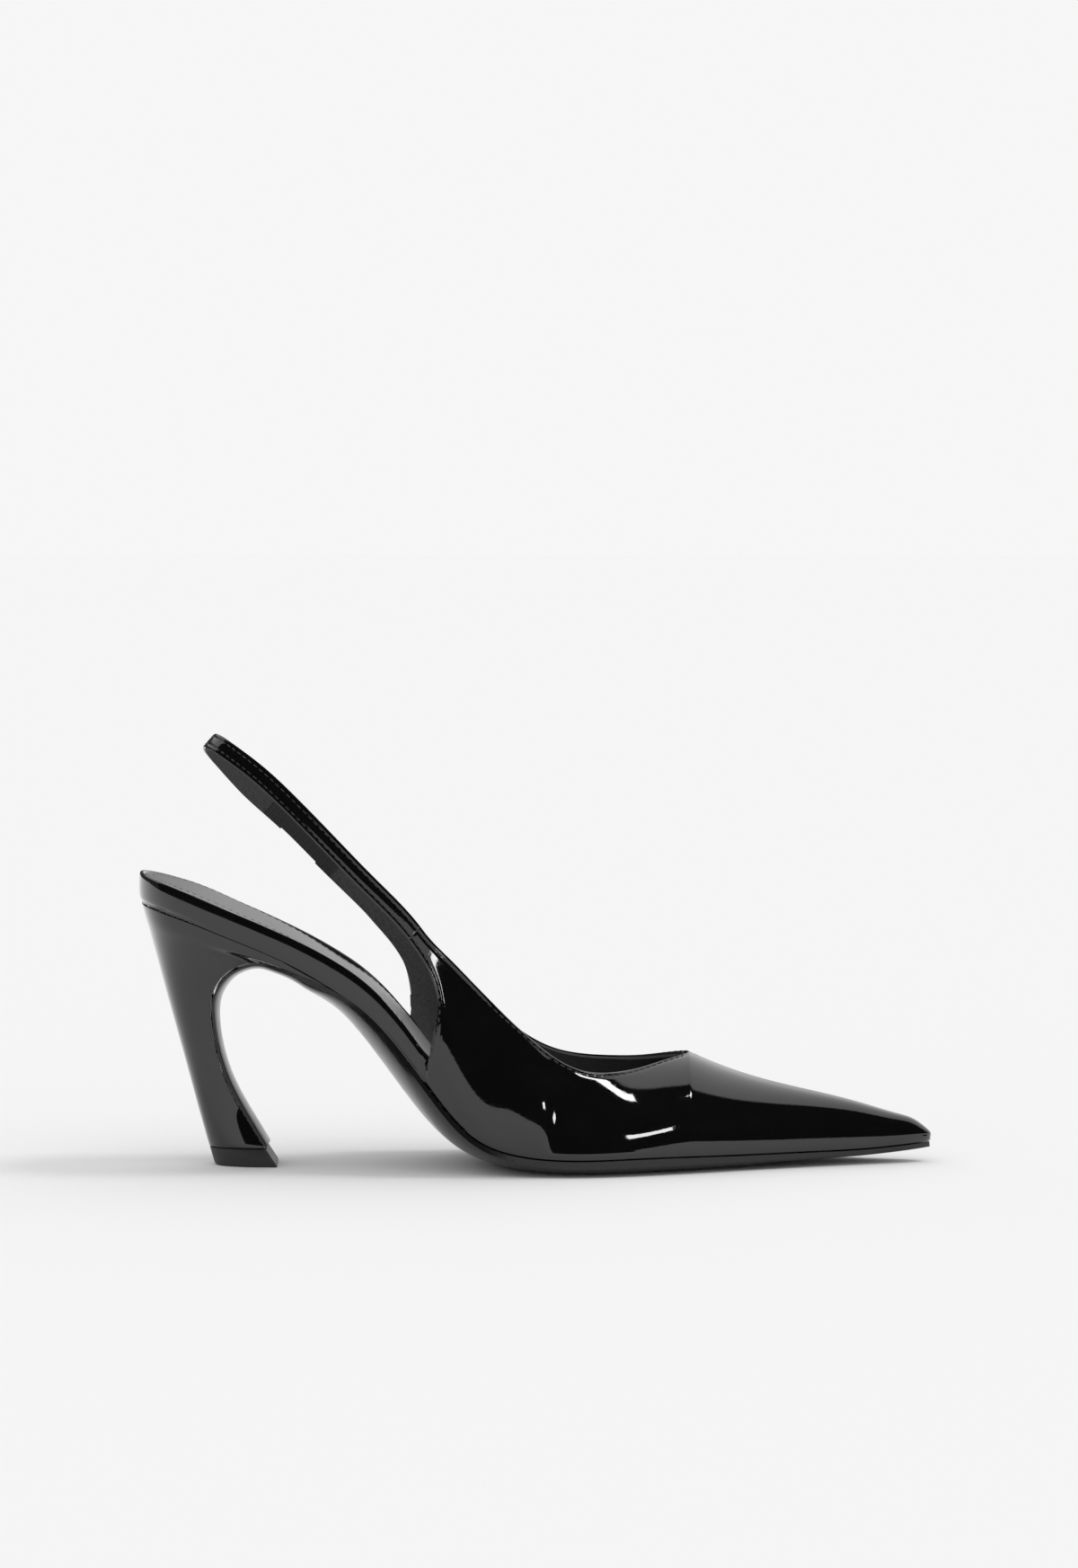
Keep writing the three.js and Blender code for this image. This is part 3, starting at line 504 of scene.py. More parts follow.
for a, b, c, d in zip(nearEnds, nearEnds[1:], farEnds, farEnds[1:]):
    extraFaces.append((a, b, d, c))
extraPoints.append(np.array(upper["nose"]))
aroundNose = upperRows[lateral][0][0] + upperRows[medial][0][0][:-1][::-1]
for a, b in zip(aroundNose, aroundNose[1:] + aroundNose[:1]):
    extraFaces.append((len(extraPoints) - 1, a, b))


# materials
scene = bpy.context.scene


def nodeGroup(name, inputs, outputs, kind="ShaderNodeTree"):  # an input is a default number or a socket kind
    group = bpy.data.node_groups.new(name, kind)
    for label, given in inputs.items():
        number = isinstance(given, float)
        socket = "NodeSocketFloat" if number else given
        made = group.interface.new_socket(label, in_out="INPUT", socket_type=socket)
        if number:
            made.default_value = given
    for label in outputs:
        socket = "NodeSocketGeometry" if label == "Geometry" else "NodeSocketFloat"
        group.interface.new_socket(label, in_out="OUTPUT", socket_type=socket)
    return group, group.nodes.new("NodeGroupInput"), group.nodes.new("NodeGroupOutput")


def node(tree, kind, links=None, **values):
    made = tree.nodes.new(kind if "Node" in kind else "ShaderNode" + kind)
    for key, value in values.items():
        if hasattr(made, key):
            setattr(made, key, value)
        else:
            made.inputs[key.replace("_", " ")].default_value = value
    for label, source in (links or {}).items():
        tree.links.new(source, made.inputs[label])
    return made


def mathNode(tree, operation, a, b=None, clamp=False):
    made = tree.nodes.new("ShaderNodeMath")
    made.operation = operation
    made.use_clamp = clamp
    for slot, source in enumerate([a, b]):
        if source is None:
            continue
        if isinstance(source, (int, float)):
            made.inputs[slot].default_value = source
        else:
            tree.links.new(source, made.inputs[slot])
    return made.outputs[0]


def buildGrain():  # pebbled leather cells with fine pores between them
    group, given, out = nodeGroup("leatherGrain", {"Cell": 900.0, "Pore": 2600.0}, ["Height", "Mask"])
    where = node(group, "TexCoord").outputs["Object"]
    cells = node(group, "TexVoronoi", {"Vector": where, "Scale": given.outputs["Cell"]},
                 feature="SMOOTH_F1")
    pores = node(group, "TexNoise", {"Vector": where, "Scale": given.outputs["Pore"]}, Detail=3.0)
    total = mathNode(group, "ADD", mathNode(group, "MULTIPLY", cells.outputs["Distance"], 0.8),
                     mathNode(group, "MULTIPLY", pores.outputs["Fac"], 0.35))
    group.links.new(total, out.inputs["Height"])
    group.links.new(mathNode(group, "SUBTRACT", 1.0, cells.outputs["Distance"], True), out.inputs["Mask"])
    return group


def buildRipple():  # the slow unevenness of a poured gloss film, and faint dust and rubs on it
    group, given, out = nodeGroup("glossRipple", {"Ripple": 260.0, "Wear": 55.0}, ["Height", "Rubbed"])
    where = node(group, "TexCoord").outputs["Object"]
    slow = node(group, "TexNoise", {"Vector": where, "Scale": given.outputs["Ripple"]},
                Detail=2.0, Roughness=0.45)
    rubs = node(group, "TexNoise", {"Vector": where, "Scale": given.outputs["Wear"]},
                Detail=6.0, Roughness=0.7)
    shaped = node(group, "MapRange", {"Value": rubs.outputs["Fac"]}, From_Min=0.5, From_Max=0.8)
    group.links.new(slow.outputs["Fac"], out.inputs["Height"])
    group.links.new(shaped.outputs[0], out.inputs["Rubbed"])
    return group


def buildEdgeWear():  # convex edges rub lighter; read from the mesh's own pointiness
    group, given, out = nodeGroup("edgeRub", {"Low": 0.52, "High": 0.62}, ["Mask"])
    shape = node(group, "NewGeometry")
    where = node(group, "TexCoord").outputs["Object"]
    broken = node(group, "TexNoise", {"Vector": where}, Scale=420.0, Detail=4.0)
    mask = node(group, "MapRange", {"Value": shape.outputs["Pointiness"],
                                    "From Min": given.outputs[0], "From Max": given.outputs[1]})
    group.links.new(mathNode(group, "MULTIPLY", mask.outputs[0], broken.outputs["Fac"]), out.inputs["Mask"])
    return group


grain, ripple, edgeRub = buildGrain(), buildRipple(), buildEdgeWear()


# colours in the dark and light parts, roughness there, bump strength and distance, the pattern and its scales
def material(name, dark, light, rough, bump, detail, coat=0.0, coatRough=0.03, metal=0.0,
             specular=0.5, sheen=0.0, wear=0.0, stretch=(1, 1, 1)):
    made = bpy.data.materials.new(name)
    made.use_nodes = True
    tree = made.node_tree
    shader = tree.nodes["Principled BSDF"]
    shader.inputs["Metallic"].default_value = metal
    shader.inputs["Specular IOR Level"].default_value = specular
    shader.inputs["Coat Weight"].default_value = coat
    shader.inputs["Coat Roughness"].default_value = coatRough
    shader.inputs["Sheen Weight"].default_value = sheen
    kind, first, second = detail
    if kind == "cloud":  # streaks, fibres and foam from one stretched noise
        where = node(tree, "TexCoord").outputs["Object"]
        mapped = node(tree, "Mapping", {"Vector": where}, Scale=stretch)
        pattern = node(tree, "TexNoise", {"Vector": mapped.outputs[0]}, Scale=first, Detail=second)
        height, mask = pattern.outputs["Fac"], pattern.outputs["Fac"]
    else:
        group = node(tree, "Group", node_tree=grain if kind == "grain" else ripple)
        group.inputs[0].default_value = first
        group.inputs[1].default_value = second
        height, mask = group.outputs[0], group.outputs[1]
    colour = node(tree, "Mix", {"Factor": mask}, data_type="RGBA")
    colour.inputs["A"].default_value = (*dark, 1)
    colour.inputs["B"].default_value = (*light, 1)
    result = colour.outputs["Result"]
    if wear:
        rub = node(tree, "Group", node_tree=edgeRub)
        worn = node(tree, "Mix", {"Factor": mathNode(tree, "MULTIPLY", rub.outputs[0], wear)},
                    data_type="RGBA")
        worn.inputs["B"].default_value = (*[min(1, v * 2.2 + 0.02) for v in light], 1)
        tree.links.new(result, worn.inputs["A"])
        result = worn.outputs["Result"]
    tree.links.new(result, shader.inputs["Base Color"])
    roughness = node(tree, "MapRange", {"Value": mask}, To_Min=rough[0], To_Max=rough[1])
    tree.links.new(roughness.outputs[0], shader.inputs["Roughness"])
    relief = node(tree, "Bump", {"Height": height}, Strength=bump[0], Distance=bump[1])
    tree.links.new(relief.outputs[0], shader.inputs["Normal"])
    return made


patent = material("patentLeather", (0.003, 0.003, 0.0033), (0.0045, 0.0045, 0.0048), (0.05, 0.1),
                  (1.0, 0.000022), ("ripple", 850.0, 60.0), coat=1.0, coatRough=0.012, specular=0.28)
patentHeel = material("patentHeelWrap", (0.003, 0.003, 0.0033), (0.0045, 0.0045, 0.0048), (0.05, 0.1),
                      (1.0, 0.000012), ("ripple", 260.0, 45.0), coat=1.0, coatRough=0.012, specular=0.32)
liningLeather = material("liningLeather", (0.028, 0.028, 0.03), (0.06, 0.06, 0.063), (0.62, 0.8),
                         (0.5, 0.00012), ("grain", 1300.0, 4200.0), specular=0.35)
# sock lining: grey leather whose base colour is lightened to paint in its satin sheen
sockLeatherPaintedSheen = material("sockLeatherPaintedSheen", (0.2, 0.201, 0.206), (0.26, 0.261, 0.266), (0.3, 0.42), (0.3, 0.0001),
                       ("grain", 1700.0, 5200.0), coat=0.4, coatRough=0.3, specular=0.6)
soleFinish = material("soleFinish", (0.006, 0.006, 0.0065), (0.012, 0.012, 0.0125), (0.16, 0.3),
                      (0.15, 0.0002), ("ripple", 700.0, 90.0), wear=0.1)
liftRubber = material("liftRubber", (0.012, 0.012, 0.0125), (0.022, 0.022, 0.022), (0.38, 0.55),
                      (0.25, 0.0001), ("grain", 2100.0, 6500.0), wear=0.6)
threadBlack = material("threadBlack", (0.012, 0.012, 0.013), (0.03, 0.03, 0.032), (0.42, 0.6),
                       (0.5, 0.00008), ("cloud", 5200.0, 2.0), sheen=0.2)
elasticWeb = material("elasticWeb", (0.006, 0.006, 0.007), (0.03, 0.03, 0.032), (0.6, 0.85),
                      (0.6, 0.00012), ("cloud", 3600.0, 2.0), sheen=0.1)
fibreBoard = material("fibreBoard", (0.32, 0.23, 0.14), (0.5, 0.38, 0.25), (0.8, 0.95), (0.4, 0.0002),
                      ("cloud", 900.0, 6.0))
# near-black board colour: painted shade, so the board's edge in the groove between the seat band and the heel
# reads dark
paintedShadeBoard = material("paintedShadeBoard", (0.012, 0.011, 0.01), (0.035, 0.032, 0.03), (0.7, 0.9), (0.4, 0.0002),
                     ("cloud", 900.0, 6.0))
steelFinish = material("steelFinish", (0.5, 0.51, 0.53), (0.68, 0.69, 0.71), (0.25, 0.42), (0.1, 0.00005),
                       ("cloud", 900.0, 4.0), metal=1.0, stretch=(1, 8, 8), wear=0.3)
heelPlastic = material("heelPlastic", (0.74, 0.72, 0.66), (0.82, 0.8, 0.75), (0.45, 0.6), (0.1, 0.0001),
                       ("cloud", 420.0, 3.0))
paddingFoam = material("paddingFoam", (0.62, 0.57, 0.42), (0.8, 0.75, 0.6), (0.9, 1.0), (0.8, 0.0003),
                       ("grain", 2400.0, 5200.0))
print("materials ready")


def dress(piece, finish, body, nodes=(), blend=None):
    piece.data.materials.clear()
    piece.data.materials.append(finish)
    if blend:
        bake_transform(piece)
    else:
        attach(piece, body)
    if nodes:
        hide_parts(*nodes)
    return piece


# ranges at the strap roots and along the elastic, where the leather would bend and the elastic stretch; dress
# only bakes the transform of a piece given one
hingeCentre = np.array([-38.85, 0, 68.15])
strapAlong = np.array([-0.692, -0.147, 0.687])
strapAlong = strapAlong / np.linalg.norm(strapAlong)
swingBlend = ("shoe", "sling_base", tuple(mm * (hingeCentre - 5.5 * strapAlong)),
              tuple(mm * (hingeCentre + 4.5 * strapAlong)))

upperPiece = makeMesh("onePieceUpper", extraPoints, extraFaces)
outward(upperPiece, openSheet=True)
thicken(upperPiece, upper["thickness"], rim=0.16)
dress(upperPiece, patent, None,
      ["vamp_outer", "lateral_strap_root", "medial_strap_root", "medial_tab_outer"], swingBlend)
print("upper done", len(upperPiece.data.polygons))


def liningSheet(name, keep, nodes, blend=None):  # lining leather, sewn to the inside of the upper
    depth = upper["liningDepth"] + 1.25 * ease(76, 86, upperPoints[:, 0])
    points = upperPoints - upperNormals * depth[:, None]
    faces = [f for f in upperFaces if keep(upperPoints[list(f)])]
    used = sorted({i for f in faces for i in f})
    renumber = {old: new for new, old in enumerate(used)}
    piece = makeMesh(name, points[used], [[renumber[i] for i in f] for f in faces])
    outward(piece)
    sample = piece.data.polygons[len(piece.data.polygons) // 2]
    towards = upperNormals[used[sample.vertices[0]]]
    if Vector(towards).dot(sample.normal) < 0:
        piece.data.flip_normals()
    thicken(piece, upper["liningThickness"], rim=0.12)
    return dress(piece, liningLeather, "shoe", nodes, blend)


seamX = 13.9
liningSheet("vampLining", lambda p: p[:, 0].mean() > seamX and p[:, 0].max() < 107.5, ["vamp_lining"])
liningSheet("quarterLiningLateral", lambda p: p[:, 0].mean() <= seamX and p[:, 1].mean() < 0,
            ["quarter_lining_lateral"], swingBlend)
liningSheet("quarterLiningMedial", lambda p: p[:, 0].mean() <= seamX and p[:, 1].mean() > 0,
            ["quarter_lining_medial", "medial_tab_lining"], swingBlend)
print("linings done")


def strapRibbon(name, fromIndex, toIndex, steps, columns, depth, thickness, width=sling["width"],
                profile=None, rim=0.14):
    lengths = np.linspace(slingLength(fromIndex), slingLength(toIndex), steps)
    edge = slingEdge(lengths)
    shares = np.linspace(0, 1, columns)
    inset = (sling["width"] - width) / 2
    grid = edge[:, None, :] + (inset + shares * width)[None, :, None] * sling["across"]
    normals = np.cross(np.gradient(edge, axis=0), sling["across"])
    normals /= np.linalg.norm(normals, axis=1)[:, None]
    if np.sum((grid[steps // 2].mean(axis=0) - np.array(sling["middle"])) * normals[steps // 2]) < 0:
        normals = -normals
    distance = np.minimum(shares, 1 - shares) * width
    lift = profile(lengths[:, None], distance[None, :]) if profile else np.zeros((1, 1))
    grid = grid + normals[:, None, :] * (lift - depth)[..., None]
    piece = makeMesh(name, grid.reshape(-1, 3), gridFaces(steps, columns))
    shape = piece.data.polygons[(steps // 2) * (columns - 1)]
    if Vector(normals[steps // 2]).dot(shape.normal) < 0:
        piece.data.flip_normals()
    return thicken(piece, thickness, rim=rim), grid


# a range over the near strap's first stretch and the elastic's whole length; the pieces given it are only
# baked in place
stretchAlong = np.array([-0.73, 0, 0.683])
strapFoot = np.array([-36, 0, 71])
stretchBlend = ("sling_base", "sling_loop", tuple(mm * strapFoot),
                tuple(mm * (strapFoot + 25 * stretchAlong)))
lapped, rootEnd = sling["loopStart"] - 0.06, slingLength(sling["loopStart"])


def strapProfile(length, distance):  # the strap's end dives just under the end of the upper
    return quilt(distance) - 0.3 * ease(rootEnd + 0.05, rootEnd - 0.25, length)


strapOuter, strapGrid = strapRibbon("slingStrap", lapped, sling["elasticRear"], 320, 19, 0.02,
                                    upper["thickness"], profile=strapProfile)
dress(strapOuter, patent, None, ["sling_strap_outer"], stretchBlend)
strapLining, _ = strapRibbon("slingStrapLining", lapped, sling["elasticRear"], 320, 10,
                             upper["liningDepth"] + 0.02, upper["liningThickness"])
dress(strapLining, liningLeather, None, ["sling_strap_lining"], stretchBlend)

elastic = dict(ribPitch=1.05, ribHeight=0.3, width=4.3, tuck=0.45, thickness=0.75, depth=1.5)


def elasticProfile(length, distance):
    return elastic["ribHeight"] * np.abs(np.sin(math.pi * length / elastic["ribPitch"]))


elasticPiece, _ = strapRibbon(
    "elasticGore", sling["elasticRear"] - elastic["tuck"], sling["elasticFront"] + elastic["tuck"], 260, 12,
    elastic["depth"], elastic["thickness"], width=elastic["width"], rim=0, profile=elasticProfile)
goreFront = slingEdge(slingLength(sling["elasticFront"]))
goreRear = slingEdge(slingLength(sling["elasticRear"]))
goreNormal = np.cross(goreFront - goreRear, sling["across"])
goreNormal *= np.sign(goreNormal[1]) / np.linalg.norm(goreNormal)
dress(elasticPiece, elasticWeb, None, ["elastic_gore"],
      ("sling_base", "sling_loop", tuple(mm * goreFront), tuple(mm * goreRear)))
print("sling done")


# heel
heelRings = [  # front x and z, back x and z, half width, widening towards the back, roundness
    (-60.6, 53.8, -116.4, 77.5, 21.7, 2.4, 7), (-71.6, 58.4, -115.3, 73.2, 21.4, 1.6, 6.4),
    (-81.2, 61.1, -114.2, 69.5, 19.5, 1.2, 5.6), (-88.5, 59.6, -113.2, 65.8, 17, 1, 4.8),
    (-93, 56.1, -111.9, 61, 14.6, 0.8, 4), (-95.6, 50.9, -110, 53.8, 12.2, 0.6, 3.4),
    (-95.9, 43.5, -107.7, 45.3, 10.4, 0.4, 3), (-94.6, 34.7, -105, 35.5, 9, 0.3, 2.8),
    (-91.7, 25.5, -102.3, 25.5, 8.4, 0.3, 2.6), (-87, 16.5, -99.9, 16.5, 8.4, 0.3, 2.6),
    (-80.3, 5.7, -96.9, 5.7, 9.5, 0.2, 2.6)]
heel = dict(rows=90, columns=34, cover=0.6, gap=0.3, sag=[1, 0.8, 0.55, 0.3, 0.12, 0, 0, 0, 0, 0, 0])


def heelSeat(x):  # the top edge follows the feather line a little below it
    return float(above(x, -heel["gap"]))


def heelRows():
    numbers = np.arange(len(heelRings))
    parts = [smooth(list(zip(numbers, [ring[k] for ring in heelRings]))) for k in range(7)]
    sag = smooth(list(zip(numbers, heel["sag"])))
    rows = []
    for k in np.linspace(0, len(heelRings) - 1, heel["rows"]):
        fx, fz, bx, bz, half, widening, power = [float(part(k)) for part in parts]
        bow = float(np.clip(sag(k), 0, 1))
        row = []
        for i in range(-heel["columns"], heel["columns"] + 1):
            turn = (math.pi / 2) * (1 - abs(i) / heel["columns"])**1.5
            p = math.sin(turn)**(2 / power)
            x = fx + (bx - fx) * p
            seat = heelSeat(x) - (heelSeat(fx) + (heelSeat(bx) - heelSeat(fx)) * p)
            y = np.sign(i) * math.cos(turn) * (half + widening * p)
            row.append((x, y, fz + (bz - fz) * p + bow * seat))
        rows.append(row)
    return rows


heelGrid = heelRows()
heelPiece = makeMesh("heelCover", np.array(heelGrid).reshape(-1, 3),
                     gridFaces(len(heelGrid), len(heelGrid[0])))
outward(heelPiece, openSheet=True)
thicken(heelPiece, heel["cover"], rim=0.15)
dress(heelPiece, patentHeel, "shoe", ["heel_cover"])

topLift = dict(height=5.4, half=9.6, columns=30, power=2.6, front=-79.9, frontRake=3.5, back=-95.1,
               backRake=1.6)


def liftRing(z, inset):
    front = topLift["front"] + topLift["frontRake"] * (1 - z / topLift["height"]) - inset
    back = topLift["back"] - topLift["backRake"] * z / topLift["height"] + inset
    ring = []
    for i in range(-topLift["columns"], topLift["columns"] + 1):
        turn = (math.pi / 2) * (1 - abs(i) / topLift["columns"])**1.3
        p = math.sin(turn)**(2 / topLift["power"])
        ring.append((front + (back - front) * p, np.sign(i) * math.cos(turn) * (topLift["half"] - inset), z))
    return ring


liftLevels = [(0, 0.45), (0.12, 0.2), (0.4, 0), (2.6, 0), (5.05, 0), (5.32, 0.12), (5.4, 0.35)]
liftPiece = loft("topLift", [liftRing(z, inset) for z, inset in liftLevels], 50)
dress(liftPiece, liftRubber, "shoe", ["top_lift"])
print("heel done")


# sole: forepart and waist, then the flap down the front of the heel
soleCentreDepth = smooth([(-60, 5), (-50, 6.4), (-33, 7.5), (-20, 7), (-5, 6.4), (20, 6.2), (45, 5.6),
                          (69, 3.6), (96, 1.8), (117, 1.6)])
soleEdgeDepth = smooth([(-60, 2), (-20, 2.1), (-5, 2.8), (29, 3.4), (69, 2.5), (117, 1.5)])
# down the heel breast: x, z, half width, depth in the middle and at the edges
breastLine = [(-66, 56.3, 21.6, 4.6, 2.8), (-71.6, 58.5, 21.2, 3.5, 2), (-76.5, 60, 20.4, 3, 1.6),
              (-81.2, 61, 19.2, 2.8, 1.3), (-86, 60, 17.7, 2.5, 1), (-90.4, 57.6, 15.8, 2.5, 1),
              (-93.7, 53.8, 13.7, 2.5, 1), (-95.4, 49.6, 11.8, 2.4, 1), (-95.5, 43.5, 10.1, 2, 1),
              (-94.2, 34.7, 8.9, 1.9, 1), (-91.3, 25.5, 8.6, 1.9, 1), (-86.7, 16.5, 8.8, 1.9, 1),
              (-80.4, 6, 9.2, 1.9, 1)]
sole = dict(inset=0.5, rings=300, across=26)


def soleRings():
    guide = []
    for x in [116.4, 115, 113, 110, 106, 98, 88, 78, 68, 57, 45, 34, 24, 14, 5, -4, -11, -17, -22, -27, -32,
              -37, -43, -49, -55, -60]:
        rise = -0.55 if x < -57 else -0.15
        guide.append([float(v) for v in (x, above(x, rise), halfWidth(lateral, x), halfWidth(medial, x),
                                         soleCentreDepth(x), soleEdgeDepth(x))])
    guide += [(x, z, w, w, centre, edge) for x, z, w, centre, edge in breastLine]
    path = path3(guide, sole["rings"])
    along = np.gradient(path[:, :2], axis=0)
    rings = []
    for p, step in zip(path, along):
        x, z, near, far, centre, edge = p
        step = step / np.linalg.norm(step)
        down = (-step[1], step[0])
        low, high = -(near - sole["inset"]), far - sole["inset"]
        middle, half = (low + high) / 2, (high - low) / 2
        ring = [(x, middle + half * s, z) for s in np.linspace(-1, 1, sole["across"])]
        for turn in np.linspace(0, math.pi, sole["across"]):
            s = math.cos(turn)
            depth = (edge + (centre - edge) * (1 - s * s)) * (1 - 0.35 * abs(s)**14)
            ring.append((x + down[0] * depth, middle + half * s, max(0.0, z + down[1] * depth)))
        rings.append(ring)
    return rings


solePiece = loft("outsole", soleRings(), 42)
dress(solePiece, soleFinish, "shoe", ["outsole"])
print("sole done")


# seat band, sock lining
bandTop = smooth([(-117, 86.8), (-104.8, 82.7), (-88.3, 75.9), (-74.1, 69.6), (-58.7, 61.4), (-51, 56),
                  (-41.2, 46), (-32.3, 34)])
band = dict(thickness=1.1, bulge=0.22, frontLateral=-31.0, frontMedial=-36.0, tucked=1.3)


def bandRings():
    turns = np.linspace(0, math.pi / 2, 60)
    roundX = outline["roundX"] + (outline["backX"] - outline["roundX"]) * np.sin(turns)
    sides = {}
    runs = [(lateral, band["frontLateral"], 70, -1), (medial, band["frontMedial"], 66, None)]
    for side, front, count, end in runs:
        xs = np.concatenate([np.linspace(front, outline["roundX"], count), roundX[1:end]])
        sides[side] = [(x, side * float(halfWidth(side, x))) for x in xs]
    plan = np.array(sides[lateral] + sides[medial][::-1])
    along = np.gradient(plan, axis=0)
    along /= np.linalg.norm(along, axis=1)[:, None]
    out = np.stack([along[:, 1], -along[:, 0]], axis=1)
    if out[0, 1] > 0:
        out = -out
    rings = []
    for (x, y), (nx, ny) in zip(plan, out):
        low, high = float(above(x, 0.4)), float(bandTop(x))
        tall = high - low
        front = band["frontLateral"] if y < 0 else band["frontMedial"]
        tuck = band["tucked"] * float(ease(front - 3.6, front - 1.6, x))
        x, y = x - nx * tuck, y - ny * tuck
        section = [(-0.35, 0.0), (-0.08, 0.25)]
        section += [(band["bulge"] * math.sin(math.pi * s), s * tall)
                    for s in (0.1, 0.25, 0.4, 0.55, 0.7, 0.82, 0.9)]
        section += [(-0.05, tall - 0.4), (-0.22, tall - 0.12), (-0.5, tall), (-0.8, tall - 0.08),
                    (-band["thickness"], tall - 0.35), (-band["thickness"], 0.3), (-0.95, -0.8), (-0.5, -0.8)]
        ring = [(x + nx * o, y + ny * o, low + up) for o, up in section]
        if len(ring) % 2:
            ring.append(tuple((np.array(ring[-1]) + np.array(ring[0])) / 2))
        rings.append(ring)
    return rings


bandPiece = loft("seatBand", bandRings(), 50)
dress(bandPiece, patentHeel, "shoe", ["insole_rand"])

sockHeight = smooth([(-117, 7.9), (-95, 7.4), (-75, 6.6), (-50, 5.8), (-34, 5.6), (-16, 5.4), (4, 4.3),
                     (20, 4.05), (117, 4.05)])
sock = dict(thickness=0.8, fromX=-115.4, toX=105.0, stations=240, across=30)


def sockRings():
    turns = np.linspace(0, math.pi, sock["stations"])
    xs = sock["fromX"] + (sock["toX"] - sock["fromX"]) * (1 - np.cos(turns)) / 2
    rings = []
    for x in xs:
        inset = 1.25 + 1.4 * float(ease(-45, -34, x)) + 1.3 * float(ease(72, 80, x))
        reach = min(x - sock["fromX"], sock["toX"] - x) + 0.02
        widths = {}
        for side in (lateral, medial):
            centre = side * float(toeCentre(x))
            width = min(float(halfWidth(side, x)) - inset - centre, math.sqrt(reach) * 7.2)
            widths[side] = centre + max(0.1, width)
        ys = np.linspace(-widths[lateral], widths[medial], sock["across"])
        middle, half = (ys[0] + ys[-1]) / 2, (ys[-1] - ys[0]) / 2
        share = np.abs((ys - middle) / half)
        edge = (1 - share) * half  # distance in from the edge
        top = float(above(x, sockHeight(x))) - 0.3 * np.exp(-(edge / 0.5)**2)
        top = top - 0.12 * np.exp(-((edge - 2.6) / 0.5)**2) * (1 if x < -36 else 0)
        low = float(above(x, sockHeight(x) - sock["thickness"]))
        rings.append([(x, y, z) for y, z in zip(ys, top)] + [(x, y, low) for y in ys[::-1]])
    return rings


sockPiece = loft("sockLining", sockRings(), 60)
dress(sockPiece, sockLeatherPaintedSheen, "shoe", ["sock_lining"])
print("seat done")


# stitches, by Geometry Nodes along rows set in from each sewn edge
stitch = dict(length=1.75, radius=0.2, pitch=upper["stitchPitch"])


def buildStitchTree():
    tree, given, out = nodeGroup("stitchRow", {
        "Row": "NodeSocketGeometry", "Pitch": stitch["pitch"] * mm, "Stitch": stitch["length"] * mm,
        "Thread": stitch["radius"] * mm, "Finish": "NodeSocketMaterial"}, ["Geometry"], "GeometryNodeTree")
    curve = node(tree, "GeometryNodeMeshToCurve", {"Mesh": given.outputs["Row"]})
    spaced = node(tree, "GeometryNodeResampleCurve",
                  {"Curve": curve.outputs[0], "Length": given.outputs["Pitch"]}, mode="LENGTH")
    size = node(tree, "CombineXYZ", {
        "X": mathNode(tree, "MULTIPLY", given.outputs["Stitch"], 0.5),
        "Y": given.outputs["Thread"], "Z": given.outputs["Thread"]})
    ball = node(tree, "GeometryNodeMeshUVSphere")
    ball.inputs["Segments"].default_value = 8
    ball.inputs["Rings"].default_value = 6
    ball.inputs["Radius"].default_value = 1.0
    thread = node(tree, "GeometryNodeTransform", {"Geometry": ball.outputs[0], "Scale": size.outputs[0]})
    tangent = node(tree, "GeometryNodeInputTangent")
    turn = node(tree, "FunctionNodeAlignRotationToVector", {"Vector": tangent.outputs[0]}, axis="X")
    laid = node(tree, "GeometryNodeInstanceOnPoints", {
        "Points": spaced.outputs[0], "Instance": thread.outputs[0], "Rotation": turn.outputs[0]})
    real = node(tree, "GeometryNodeRealizeInstances", {"Geometry": laid.outputs[0]})
    shade = node(tree, "GeometryNodeSetShadeSmooth", {"Geometry": real.outputs[0]})
    finish = node(tree, "GeometryNodeSetMaterial",
                  {"Geometry": shade.outputs[0], "Material": given.outputs["Finish"]})
    tree.links.new(finish.outputs[0], out.inputs[0])
    return tree


stitchTree = buildStitchTree()


def thinned(points, gap=0.4):  # without points that lie too close together
    kept = [points[0]]
    for p in points[1:]:
        if np.linalg.norm(p - kept[-1]) > gap:
            kept.append(p)
    return np.array(kept)


def stitchRow(name, points, blend=None):
    points = thinned(points)
    mesh = bpy.data.meshes.new(name)
    mesh.from_pydata([tuple(p * mm) for p in points], [(i, i + 1) for i in range(len(points) - 1)], [])
    piece = bpy.data.objects.new(name, mesh)
    bpy.context.scene.collection.objects.link(piece)
    sewn = piece.modifiers.new("stitches", "NODES")
    sewn.node_group = stitchTree
    for item in stitchTree.interface.items_tree:
        if item.item_type == "SOCKET" and item.in_out == "INPUT" and item.name == "Finish":
            sewn[item.identifier] = threadBlack
    finished(piece, 180)
    dress(piece, threadBlack, "shoe", (), blend)


def insetLine(rows, distance, fromTop):  # points a set distance in from one end of each row
    line = []
    for row in rows:
        row = row[::-1] if fromTop else row
        steps = np.concatenate([[0], np.cumsum(np.linalg.norm(np.diff(row, axis=0), axis=1))])
        line.append([np.interp(distance, steps, row[:, k]) for k in range(3)])
    return np.array(line)


threadDepth = 0.06
sockStitchInset = 3.9
lifted = upperPoints - upperNormals * threadDepth
topLine = []
for side in (lateral, medial):
    numbers, front = upperRows[side]
    rows = [lifted[row] for row in numbers[front + 3:]]
    inset = insetLine(rows, upper["stitchInset"], True)
    topLine.append(inset)
    rear = insetLine([lifted[row] for row in numbers[cornerRow(side) + 1:]], upper["stitchInset"], False)
    label = "Lateral" if side == lateral else "Medial"
    stitchRow("rearStitches" + label, rear, swingBlend)
around = np.concatenate([topLine[0][::-1], topLine[1]])
stitchRow("topEdgeStitches", around, swingBlend)
for label, column in (("Lower", 1.25), ("Upper", sling["width"] - 1.25)):
    share = column / sling["width"] * (strapGrid.shape[1] - 1)
    low = int(share)
    line = strapGrid[:, low] + (strapGrid[:, low + 1] - strapGrid[:, low]) * (share - low)
    stitchRow("strapStitches" + label, line, stretchBlend)
